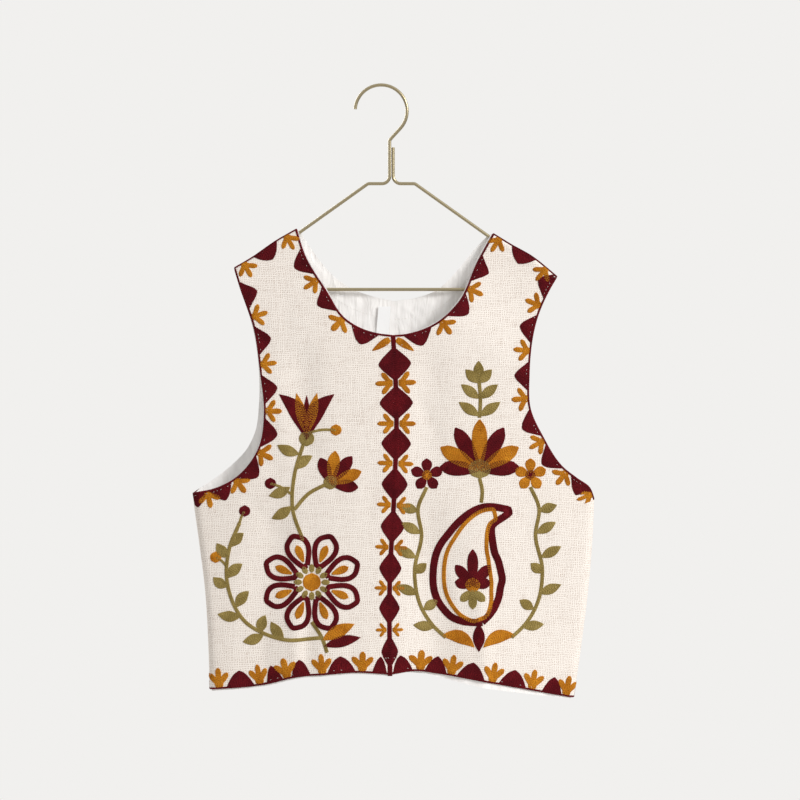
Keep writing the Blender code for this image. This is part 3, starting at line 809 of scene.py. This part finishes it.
# (edge, face, side): half lozenges, then sprigs
BORDER = {
    ("neck", FRONT, RIGHT): ((33, 90, 141), (62, 116)),
    ("neck", FRONT, LEFT): ((29, 85, 134), (59, 108)),
    ("armhole", FRONT, RIGHT): ((4, 34, 73, 118, 168, 225, 280), (18, 54, 95, 143, 197, 253)),
    ("armhole", FRONT, LEFT): ((25, 71, 116, 171, 226, 280), (7, 48, 93, 145, 200, 254)),
    ("hem", FRONT, RIGHT): ((12, 56, 103, 134, 175), (32, 78, 119, 152, 200)),
    ("hem", FRONT, LEFT): ((15, 53, 94, 143, 190), (35, 71, 119, 166, 207)),
    ("shoulder", FRONT, RIGHT): ((43,), (14, 73)),
    ("shoulder", FRONT, LEFT): ((42,), (9, 74)),
    ("neck", BACK, 0): (range(42, 251, 52), range(68, 225, 52)),
    ("armhole", BACK, RIGHT): ((22, 70, 119, 172, 226, 275), (45, 94, 145, 199, 250)),
    ("armhole", BACK, LEFT): ((22, 70, 119, 172, 226, 275), (45, 94, 145, 199, 250)),
    ("hem", BACK, 0): (range(42, 379, 42), (20, *range(63, 358, 42), 401)),
    ("shoulder", BACK, RIGHT): ((43,), (14, 73)),
    ("shoulder", BACK, LEFT): ((42,), (9, 74)),
}
DOME_FORMS = {  # the widest half width, the room left for a sprig, the height and the outline
    "neck": (17.5, -5.0, 16.5, DOME),
    "armhole": (17.5, -5.0, 16.5, DOME),
    "hem": (16.5, 5.0, 18.5, BLUNT_DOME),
}
SPRIG_FORMS = {  # size, foot above the edge, and the outer lobes' angle
    "neck": (0.95, 1.0, 52),
    "armhole": (0.95, 1.0, 52),
    "shoulder": (0.95, 1.0, 52),
    "hem": (1.12, 1.0, 39),
}
for name, face, side, panel, edge, inward in EDGES:
    if name == "centre":
        continue
    places, sprigs = BORDER[name, face, side]
    if name == "shoulder":
        shape = petal((places[0], DOME_FOOT), 90, 16, 17, BLUNT_DOME)
        area(panel, "burgundy", bordered(edge, inward, shape))
    else:
        domes(edge, inward, panel, places, sprigs, *DOME_FORMS[name])
    for at in sprigs:
        sprig(edge, inward, panel, at, *SPRIG_FORMS[name])

# Down the centre front: where the lozenges' middles are above the hem, and how far each reaches into its
# front, and the sprigs between them, with their sizes
CENTRE_LOZENGES = (
    (28, 9.6), (78, 11.8), (124, 12.8), (172, 13.6), (221, 15.0), (268, 17.0), (315, 19.2), (360, 18.8),
)
CENTRE_SPRIGS = ((53, 0.62), (101, 0.70), (148, 0.76), (197, 0.80), (245, 0.86), (291, 0.93), (338, 1.0))
for side in (RIGHT, LEFT):
    panel = f"front_{WORN[side]}"
    for at, reach in CENTRE_LOZENGES:
        shape = petal((at, -0.2), 90, reach, 20.5, LOZENGE)
        area(panel, "burgundy", bordered(CENTRE_LINE[FRONT], -side, shape))
    for at, size in CENTRE_SPRIGS:
        sprig(CENTRE_LINE[FRONT], -side, panel, at, size, foot=3.4)
    area(panel, "ochre", petal((2 + side * 4, -295), 270 + side * 56, 24, 4.3, WEDGE))

# The burgundy line along every edge: a row of chain stitch just inside it
EDGE_LINES = {"neck": 1.6, "armhole": 1.6, "hem": 1.5, "shoulder": 1.3, "centre": 2.7}
for name, face, side, panel, edge, inward in EDGES:
    line, left, run = line_of(edge)
    kept = line[::5] + left[::5] * inward * EDGE_LINES[name] * 0.5
    area(panel, "burgundy", between(kept, np.full(len(kept), EDGE_LINES[name] / 2)))

# The wearer's right front: a bent stem from a big round bloom to a tulip, with a bell flower and a leafy twig
right_front = "front_right"


def stems(panel, half_width, *lines):
    for line in lines:
        area(panel, "olive", stem(line, half_width))


def leaves(panel, thread, half_width, rows, bend=0.0):
    for x, z, angle, length in rows:
        area(panel, thread, petal((x, z), angle, length, half_width, LEAF, bend))


def ring_of(panel, thread, middle, count, radius, length, half_width, profile=PETAL, start=0.0, line=None):
    """Petals round a middle, from a radius outwards, filled or only outlined with a line of that width."""
    for i in range(count):
        angle = start + 360 * i / count
        way = np.array([math.cos(math.radians(angle)), math.sin(math.radians(angle))])
        shape = petal(np.array(middle) + way * radius, angle, length, half_width, profile)
        area(panel, thread, outlined(shape, line) if line else shape)


def fan_of(panel, middle, rows, half_width):
    """Petals that spread from one foot, each as (angle, thread, length)."""
    for angle, thread, length in rows:
        area(panel, thread, petal(middle, angle, length, half_width, PETAL))


def disc(panel, thread, middle, radius):
    area(panel, thread, petal((middle[0], middle[1] - radius), 90, 2 * radius, radius, ROUND))


stems(
    right_front,
    2.1,
    ((-74, -657), (-80, -640), (-92, -622)),
    ((-102, -528), (-114, -492), (-112, -452), (-101, -414)),
    ((-112, -492), (-96, -474), (-74, -462)),
    ((-80, -640), (-128, -642), (-170, -622), (-190, -580), (-188, -538), (-176, -508)),
)
leaves(
    right_front,
    "olive",
    6.4,
    (
        (-115, -488, 212, 28), (-117, -466, 203, 27), (-112, -446, 38, 26), (-106, -428, 158, 28),
        (-124, -642, 128, 25), (-152, -636, 74, 22), (-148, -637, 200, 26), (-174, -616, 176, 28),
        (-180, -606, 52, 24), (-190, -582, 148, 20), (-190, -572, 44, 24), (-188, -548, 132, 22),
        (-186, -536, 48, 22),
    ),
    1.5,
)

# Its tulip
tulip = (-98, -412)
for angle, bend in ((121, -8.0), (59, 8.0)):
    area(right_front, "burgundy", petal(tulip, angle, 62, 10.0, LEAF, bend))
for angle in (104, 76):
    area(right_front, "ochre", petal((tulip[0], tulip[1] + 6), angle, 50, 6.4, LEAF))
area(right_front, "burgundy", petal((tulip[0], tulip[1] + 10), 90, 42, 3.8, LEAF))
area(right_front, "olive", petal((tulip[0], tulip[1] - 7), 90, 18, 9.0, ROUND))

# Its round bloom: eight outlined petals, each with a filled heart, round two rings and an eye
bloom = (-92, -576)
ring_of(right_front, "burgundy", bloom, 8, 20, 37, 12.4, start=22.5, line=3.0)
ring_of(right_front, "ochre", bloom, 8, 25, 21, 4.6, start=22.5)
ring_of(right_front, "olive", bloom, 12, 11, 10, 3.2, ROUND)
disc(right_front, "ochre", bloom, 10.5)

# Its bell flower, two-coloured leaves at the foot, and berries on short stalks
fan_of(
    right_front,
    (-70, -462),
    ((-8, "burgundy", 32), (22, "ochre", 38), (52, "burgundy", 40), (82, "ochre", 38), (112, "burgundy", 32)),
    7.4,
)
area(right_front, "olive", petal((-77, -466), 40, 17, 8.0, ROUND))
leaves(right_front, "ochre", 7.6, ((-80, -643, 27, 42),), 1.0)
leaves(right_front, "burgundy", 6.6, ((-78, -650, 14, 44),), 1.0)
for start, end, thread in (
    ((-116, -474), (-140, -462), "burgundy"), ((-176, -508), (-170, -494), "burgundy"),
    ((-190, -560), (-204, -548), "ochre"), ((-98, -404), (-64, -400), "ochre"),
):
    stems(right_front, 1.5, (start, ((start[0] + end[0]) / 2, (start[1] + end[1]) / 2 + 2), end))
    disc(right_front, thread, end, 6.6)

# The wearer's left front: a big curled drop between two boughs, under a fan-shaped bloom
left_front = "front_left"
drop_spine = curve(((104, -622), (89, -580), (90, -536), (108, -502), (136, -494)), 4.0)
drop_form = (
    (0, 0.02), (0.06, 0.5), (0.16, 0.83), (0.3, 1.0), (0.45, 0.94), (0.62, 0.68), (0.8, 0.36), (0.93, 0.17),
    (1, 0.05),
)
drop_form = curve(drop_form, 0.02)
drop_half = 40 * np.interp(np.linspace(0, 1, len(drop_spine)), drop_form[:, 0], drop_form[:, 1])
area(left_front, "burgundy", outlined(between(drop_spine, drop_half), 4.2))
area(left_front, "ochre", outlined(between(drop_spine[1:-4], 0.68 * drop_half[1:-4]), 2.3))
fan_of(
    left_front,
    (94, -580),
    (
        (12, "burgundy", 21), (50, "burgundy", 31), (90, "burgundy", 42), (130, "burgundy", 31),
        (168, "burgundy", 21),
    ),
    6.4,
)
disc(left_front, "ochre", (94, -579), 8.6)
fan_of(left_front, (94, -585), ((222, "olive", 19), (270, "olive", 22), (318, "olive", 19)), 5.0)

# Its fan-shaped bloom, with a sprig over it
fan = (102, -446)
fan_of(
    left_front,
    fan,
    (
        (4, "burgundy", 46), (30, "ochre", 52), (60, "burgundy", 56), (90, "ochre", 58),
        (120, "burgundy", 56), (150, "ochre", 52), (176, "burgundy", 46),
    ),
    9.0,
)
area(left_front, "olive", petal((fan[0], fan[1] - 10), 90, 22, 13.0, ROUND))
stems(left_front, 2.1, ((102, -456), (105, -470), (104, -484)), ((102, -386), (103, -362), (101, -340)))
leaves(
    left_front,
    "olive",
    6.0,
    (
        (102, -384, 34, 29), (102, -384, 146, 29), (102, -364, 38, 27), (102, -364, 142, 27),
        (101, -346, 46, 22), (101, -346, 134, 22), (101, -342, 90, 22),
    ),
)

# Its two boughs, each with leaves, an ochre wing at the foot and a small flower
for flip in (-1, 1):

    def turned(x, z):
        return 101 + flip * x, z

    bough = ((38, -640), (53, -626), (66, -606), (74, -562), (66, -522), (70, -490), (60, -466))
    stems(left_front, 2.1, [turned(*point) for point in bough])
    for x, z, angle, length in (
        (50, -628, 6, 26), (64, -608, 146, 20), (70, -590, 22, 28), (74, -566, 140, 18),
        (72, -548, 28, 27), (67, -520, 30, 26), (70, -494, 18, 22),
    ):
        turn = angle if flip > 0 else 180 - angle
        area(left_front, "olive", petal(turned(x, z), turn, length, 6.0, LEAF))
    petals, eye = ("ochre", "burgundy") if flip > 0 else ("burgundy", "ochre")
    ring_of(left_front, petals, turned(60, -452), 5, 2, 17, 6.2, start=90)
    disc(left_front, eye, turned(60, -452), 6.0)
    area(left_front, "ochre", petal(turned(5, -651), 90 - flip * 71, 40, 7.6, LEAF, bend=flip * 6.0))
area(left_front, "burgundy", petal((101, -656), 90, 33, 7.0, LEAF))

# White stitches: a row inside every border edge, which holds the lining, and a few at the ends of the front
TOPSTITCH_INSET = 3.2
TOPSTITCH_FORM = (4.4, 2.4, 0.68, 0.22)  # step, length, lift and half width, as in the next two
END_STITCH_FORM = (2.9, 2.0, 0.95, 0.3)
NECK_STITCH_FORM = (4.0, 2.6, 0.2, 0.22)
NECK_STITCH_DROP = 21
TOPSTITCH_SHOWN = {"neck": 0.42, "armhole": 0.42, "hem": 0.14}  # the share of them that hasn't sunk in
sunk = np.random.default_rng(9)


def dashes(panel, line, step, length, lift, half_width, share=1.0):
    """White stitches along a line. Only some of them show: the rest have sunk into the work."""
    run = run_along(line)
    starts = np.arange(step / 2, run[-1] - length, step)
    starts = starts[sunk.uniform(0, 1, starts.shape) < share]
    ends = [read_line(at, run, line) for at in (starts, starts + length)]
    stitch_lines.setdefault((panel, "white"), []).append((*ends, lift, half_width))


for name, face, side, panel, edge, inward in EDGES:
    if name in TOPSTITCH_SHOWN:
        line, left, run = line_of(edge)
        dashes(panel, line + left * inward * TOPSTITCH_INSET, *TOPSTITCH_FORM, TOPSTITCH_SHOWN[name])
for side in (RIGHT, LEFT):
    for x, start_z, end_z, reach in ((3, -304, -301.5, 10), (0, -662.5, -662.75, 8)):
        line = np.array([(x + side * 1.0, start_z), (x + side * reach, end_z)])
        dashes(f"front_{WORN[side]}", line, *END_STITCH_FORM)
for side in (RIGHT, LEFT):
    dashes("lining", curve(NECK[BACK, side], 1.0) - np.array([0, NECK_STITCH_DROP]), *NECK_STITCH_FORM)


# How an area turns into stitches: rows that follow its edge inwards, and down the middle of a slender one
SLENDER = 2.2
OUTLINE_STEP = 0.8
KEPT_SHARE = 0.93  # of a row's depth: nearer the edge than this, a row has crossed another


def even(points, step):
    """Points along a line at even steps, with both its ends."""
    run = run_along(points)
    return read_line(np.linspace(0, run[-1], max(2, round(run[-1] / step) + 1)), run, points)


def turning(ring):
    """Above 0 where a closed ring of (x, z) runs anticlockwise, as seen from the front."""
    ahead = np.roll(ring, -1, axis=0)
    return (ring[:, 0] * ahead[:, 1] - ring[:, 1] * ahead[:, 0]).sum()


def is_inside(points, ring):
    start, end = ring, np.roll(ring, -1, axis=0)
    x, z = points[:, :1], points[:, 1:]
    spans = (start[:, 1] > z) != (end[:, 1] > z)
    rise = np.where(start[:, 1] == end[:, 1], 1, end[:, 1] - start[:, 1])
    crossing = start[:, 0] + (z - start[:, 1]) / rise * (end[:, 0] - start[:, 0])
    return (spans & (x < crossing)).sum(axis=1) % 2 == 1


def stretches(ring, kept):
    """The unbroken stretches of the kept points of a closed ring."""
    if kept.all():
        return [np.concatenate([ring, ring[:1]])]
    first = np.flatnonzero(~kept)[0]
    ring, kept = np.roll(ring, -first, axis=0), np.roll(kept, -first)
    ends = np.flatnonzero(np.diff(np.concatenate([[0], kept.astype(int), [0]])))
    return [ring[low:high] for low, high in zip(ends[::2], ends[1::2]) if high - low > 2]


def rows_of(grid):
    """An area's rows of stitches as lines, and the width of each row."""
    ring = outline_of(grid)
    outline = even(np.concatenate([ring, ring[:1]]), OUTLINE_STEP)[:-1]
    widths = np.linalg.norm(grid[:, -1] - grid[:, 0], axis=1)
    middle = grid[:, grid.shape[1] // 2]
    length = np.linalg.norm(np.diff(middle, axis=0), axis=1).sum()
    rows, spacing, rings = [], STITCH_ROW, round(widths.max() / STITCH_ROW)
    if length > SLENDER * widths.max() / 2:
        count = max(1, round(widths.max() / STITCH_ROW))
        spacing, rings = widths.max() / count, count // 2
        wide = np.flatnonzero(widths > 0.5 * spacing)
        if count % 2 and len(wide) > 1:
            rows.append(middle[wide[0] : wide[-1] + 1])
    along = np.roll(outline, -1, axis=0) - np.roll(outline, 1, axis=0)
    along /= np.linalg.norm(along, axis=1, keepdims=True)
    inwards = np.column_stack([-along[:, 1], along[:, 0]]) * np.sign(turning(outline))
    for i in range(rings):
        depth = spacing * (i + 0.5)
        line = outline + inwards * depth
        gap = np.linalg.norm(line[:, None] - outline[None], axis=2).min(axis=1)
        kept = (gap > KEPT_SHARE * depth) & is_inside(line, outline)
        if not kept.any():
            break
        rows += stretches(line, kept)
    return rows, spacing


def on_cloth(panel, points, lift):
    """Points seen from the front, laid on a panel and lifted off it, and the direction that they face."""
    face = FRONT if panel.startswith("front") else BACK
    across, up = lay_flat(points[..., 0], points[..., 1])
    way = outward(face, across, up)
    if panel == "lining":
        lift = -(lining_depth(across, up) + LINING_WALL + lift)[..., None]
    return drape(face, across, up) + way * lift, way


# A stitch's shape: how far along it the belly is and how far it overlaps the next, as shares of its length,
# and how far out its two legs lie and how thick they are, as shares of the row's width
BELLY_AT, OVERLAP = 0.58, 0.06
BELLY_OUT, TAIL_OUT, TIP_OUT, LEG_HALF_WIDTH = 0.27, 0.12, 0.18, 0.24


def links(starts, ends, normals, width):
    """Chain stitches: two plump legs each, with their tips over the tail of the next."""
    way = ends - starts
    side = np.cross(normals, way / np.linalg.norm(way, axis=1, keepdims=True))
    high = normals * STITCH_HALF_HEIGHT
    thick = side * LEG_HALF_WIDTH * width
    legs = []
    for leg in (-1, 1):
        belly = starts + BELLY_AT * way + side * leg * BELLY_OUT * width
        tail = starts - OVERLAP * way + side * leg * TAIL_OUT * width
        tip = ends + OVERLAP * way + side * leg * TIP_OUT * width
        legs.append(np.stack([belly + thick, belly + high, belly - thick, belly - high, tail, tip], axis=1))
    return np.concatenate(legs)


def spindles(starts, ends, normals, width):
    """Single straight stitches, thickest in the middle."""
    way = ends - starts
    side = np.cross(normals, way / np.linalg.norm(way, axis=1, keepdims=True)) * width
    belly, high = starts + 0.5 * way, normals * width
    return np.stack([belly + side, belly + high, belly - side, belly - high, starts, ends], axis=1)


SPINDLE_FACES = np.array([(k, (k + 1) % 4, 5) for k in range(4)] + [((k + 1) % 4, k, 4) for k in range(4)])


def faced(made):
    """Stitches of six points each, as one shape's points and faces."""
    faces = SPINDLE_FACES[None] + 6 * np.arange(len(made))[:, None, None]
    return made.reshape(-1, 3), faces.reshape(-1, 3)


def squares(a, b, c, d):
    """Two triangles for each square with these corners."""
    return np.concatenate([np.stack([a, b, c], axis=1), np.stack([a, c, d], axis=1)])


def padding(panel, grid, lift):
    """A thin slab under an area's stitches, as its points and faces."""
    if (turning(outline_of(grid)) > 0) != panel.startswith("front"):
        grid = grid[:, ::-1]
    rows, columns = grid.shape[:2]
    top, bottom = (on_cloth(panel, grid, height)[0].reshape(-1, 3) for height in (lift, PAD_SINK))
    number = np.arange(rows * columns).reshape(rows, columns)
    corners = [number[:-1, :-1], number[1:, :-1], number[1:, 1:], number[:-1, 1:]]
    a, b, c, d = (corner.ravel() for corner in corners)
    upper = squares(a, b, c, d)
    rim = outline_of(number)
    ahead, below = np.roll(rim, -1), rows * columns
    wall = squares(rim, rim + below, ahead + below, ahead)
    return np.concatenate([top, bottom]), np.concatenate([upper, upper[:, ::-1] + below, wall])


def joined(name, shapes):
    """One mesh from many shapes, each its points in millimetres and its faces."""
    starts = np.cumsum([0] + [len(points) for points, _ in shapes[:-1]])
    points = placed(np.concatenate([points for points, _ in shapes]))
    faces = np.concatenate([faces + start for (_, faces), start in zip(shapes, starts)])
    mesh = bpy.data.meshes.new(name)
    mesh.from_pydata(points.tolist(), [], faces.tolist())
    return mesh


def new_thread(name, light, dark):
    """Matt cotton thread, whose colour varies a little along the rows."""
    material = new_material(name, {"Roughness": 0.88, "Specular IOR Level": 0.12})
    place = add_node(material, "TexCoord", {}, "Object")
    cloudy = add_node(material, "TexNoise", {"Vector": place, "Scale": 60.0, "Detail": 3.0})
    fine = add_node(material, "TexNoise", {"Vector": place, "Scale": 900.0, "Detail": 2.0})
    both = add_node(material, "Math", {0: cloudy, 1: fine}, operation="MULTIPLY")
    share = add_node(material, "MapRange", {"Value": both, "From Min": 0.12, "From Max": 0.42})
    shades = {0: share, MIX_A: colour(dark), MIX_B: colour(light)}
    finish(material, {"Base Color": add_node(material, "Mix", shades, MIXED, data_type="RGBA")})
    return material


# Loosely twisted, dyed cotton thread: quite matt, with cloudy shades 2 cm apart and specks 1 mm apart
THREADS = {
    "burgundy": new_thread("burgundy_cotton_thread", "#77171f", "#520f17"),
    "ochre": new_thread("ochre_cotton_thread", "#dc972b", "#b06a17"),
    "olive": new_thread("olive_cotton_thread", "#b39e60", "#8a7640"),
    "white": new_thread("white_cotton_thread", "#f8f5f0", "#e2dcd2"),
}
JITTER = 0.08
PAD_LAYER, PAD_LAYERS = 0.03, 4  # areas that overlap have their padding at different heights
jitter = np.random.default_rng(4)
sewn_pieces = {}
for panel, thread in sorted(set(worked_areas) | set(stitch_lines)):
    shapes = []
    for i, grid in enumerate(worked_areas.get((panel, thread), [])):
        shapes.append(padding(panel, grid, PAD_LIFT + PAD_LAYER * (i % PAD_LAYERS)))
        rows, spacing = rows_of(grid)
        for row in rows:
            points = even(row, STITCH_LENGTH)
            points = points + jitter.uniform(-JITTER, JITTER, points.shape)
            hung, ways = on_cloth(panel, points, STITCH_LIFT)
            shapes.append(faced(links(hung[:-1], hung[1:], ways[:-1], spacing)))
    for starts, ends, lift, half_width in stitch_lines.get((panel, thread), []):
        low, ways = on_cloth(panel, starts, lift)
        high, _ = on_cloth(panel, ends, lift)
        shapes.append(faced(spindles(low, high, ways, half_width)))
    name = f"{thread}_stitches_{panel}"
    piece = new_piece(name, joined(name, shapes), THREADS[thread], sharp=180)
    sewn_pieces.setdefault(panel, []).append(piece)

# Edge cord
# A burgundy cord is sewn over the fold of every outer edge but the centre front. It is thick cotton, like the
# stitches, and covers the cloth's edge.
CORD_STEP = 0.87
CORD_IN_PLANE, CORD_THROUGH = 0.8, 1.05
CORD_TWIST, CORD_TURN = 0.14, 2.1  # how much it swells, and the radians that its twist turns in each step
CORD_SIDES = 6


def cord(face, edge):
    """A closed tube along an edge, whose thickness swells and falls as a twisted cord's does."""
    line = curve(edge, CORD_STEP)
    across, up = lay_flat(line[:, 0], line[:, 1])
    way = outward(face, across, up)
    middle = layer(face, across, up, np.full(len(line), CLOTH_WALL / 2))
    along = np.gradient(middle, axis=0)
    side = np.cross(way, along)
    side /= np.linalg.norm(side, axis=1, keepdims=True)
    turn = np.linspace(0, 2 * math.pi, CORD_SIDES, endpoint=False)
    swell = 1 + CORD_TWIST * np.sin(np.arange(len(line))[:, None] * CORD_TURN + turn)
    in_plane, through = CORD_IN_PLANE * np.cos(turn) * swell, CORD_THROUGH * np.sin(turn) * swell
    rings = middle[:, None] + side[:, None] * in_plane[..., None] + way[:, None] * through[..., None]
    number = np.arange(len(line) * CORD_SIDES).reshape(len(line), CORD_SIDES)
    a, b = number[:-1].ravel(), np.roll(number, -1, axis=1)[:-1].ravel()
    sides = squares(a, b, b + CORD_SIDES, a + CORD_SIDES)
    caps = [(number[0, 0], number[0, k + 1], number[0, k]) for k in range(1, CORD_SIDES - 1)]
    caps += [(number[-1, 0], number[-1, k], number[-1, k + 1]) for k in range(1, CORD_SIDES - 1)]
    return rings.reshape(-1, 3), np.concatenate([sides, np.array(caps)])


cords = [
    cord(face, edge)
    for name, face, side, panel, edge, inward in EDGES
    if name in ("neck", "armhole", "hem") or (name, face) == ("shoulder", FRONT)
]
cords += [cord(FRONT, side_edge(side)) for side in (RIGHT, LEFT)]
cord_mesh = joined("burgundy_edge_cord", cords)
edge_cord = new_piece("burgundy_edge_cord", cord_mesh, THREADS["burgundy"], sharp=180)

# The cloths' cut: each panel's name, its width and length, and its area
cuts = [(f"front_{WORN[side]}", FRONT_CUT, FRONT_AREA) for side in (RIGHT, LEFT)]
cuts.append(("back", BACK_CUT, BACK_AREA))

# Stage
# A pale floor far below, a pale world, one big soft lamp up to the right of the camera and a weak one behind.
FLOOR_RADIUS, FLOOR_DROP = 2.2, 1.25
floor_shape = bmesh.new()
bmesh.ops.create_circle(floor_shape, cap_ends=True, radius=FLOOR_RADIUS, segments=96)
floor_mesh = bpy.data.meshes.new("floor")
floor_shape.to_mesh(floor_mesh)
floor_shape.free()
paper_looks = {"Base Color": colour("#cfcdca"), "Roughness": 0.95}
floor_mesh.materials.append(new_material("pale_matt_paper", paper_looks))
floor = bpy.data.objects.new("floor", floor_mesh)
floor.location = (0, 0, -FLOOR_DROP)
bpy.context.scene.collection.objects.link(floor)

# The world looks even, but it lights the waistcoat less from below, as a room does
LIGHT_BELOW, LIGHT_ABOVE = 0.31, 0.86
world = bpy.data.worlds.new("pale_room")
world.use_nodes = True
bpy.context.scene.world = world
direction = add_node(world, "TexCoord", {}, "Generated")
height = add_node(world, "SeparateXYZ", {0: direction}, "Z")
room = {"Value": height, "From Min": -0.45, "From Max": 0.35, "To Min": LIGHT_BELOW, "To Max": LIGHT_ABOVE}
seen = add_node(world, "LightPath", {}, "Is Camera Ray")
strength = {"Value": seen, "To Min": add_node(world, "MapRange", room)}
sky = {"Color": colour("#f1f0ee"), "Strength": add_node(world, "MapRange", strength)}
feed(world, world.node_tree.nodes["Background"], sky)


# Lamps: power in watts, size, and place, all aimed at the waistcoat's chest
LAMP_AIM = (0, 0, -0.4)


def new_lamp(name, power, size, place):
    lamp = bpy.data.lights.new(name, "AREA")
    lamp.energy = power
    lamp.size = size
    stand = bpy.data.objects.new(name, lamp)
    stand.location = place
    stand.rotation_euler = (Vector(LAMP_AIM) - Vector(place)).to_track_quat("-Z", "Y").to_euler()
    bpy.context.scene.collection.objects.link(stand)


new_lamp("key_lamp", 530, 2.6, (6.6, -5.2, 3.2))
new_lamp("fill_lamp", 36, 1.6, (-1.5, 2.5, 0.8))

CAMERA_PLACE = (0.022, -3.0, -0.3654)
CAMERA_LENS = 115.8
camera = bpy.data.cameras.new("camera")
camera.sensor_width = 36
camera.lens = CAMERA_LENS
camera_stand = bpy.data.objects.new("camera", camera)
camera_stand.location = CAMERA_PLACE
camera_stand.rotation_euler = (math.pi / 2, 0, 0)
bpy.context.scene.collection.objects.link(camera_stand)
bpy.context.scene.camera = camera_stand
bpy.context.scene.view_settings.view_transform = "Standard"
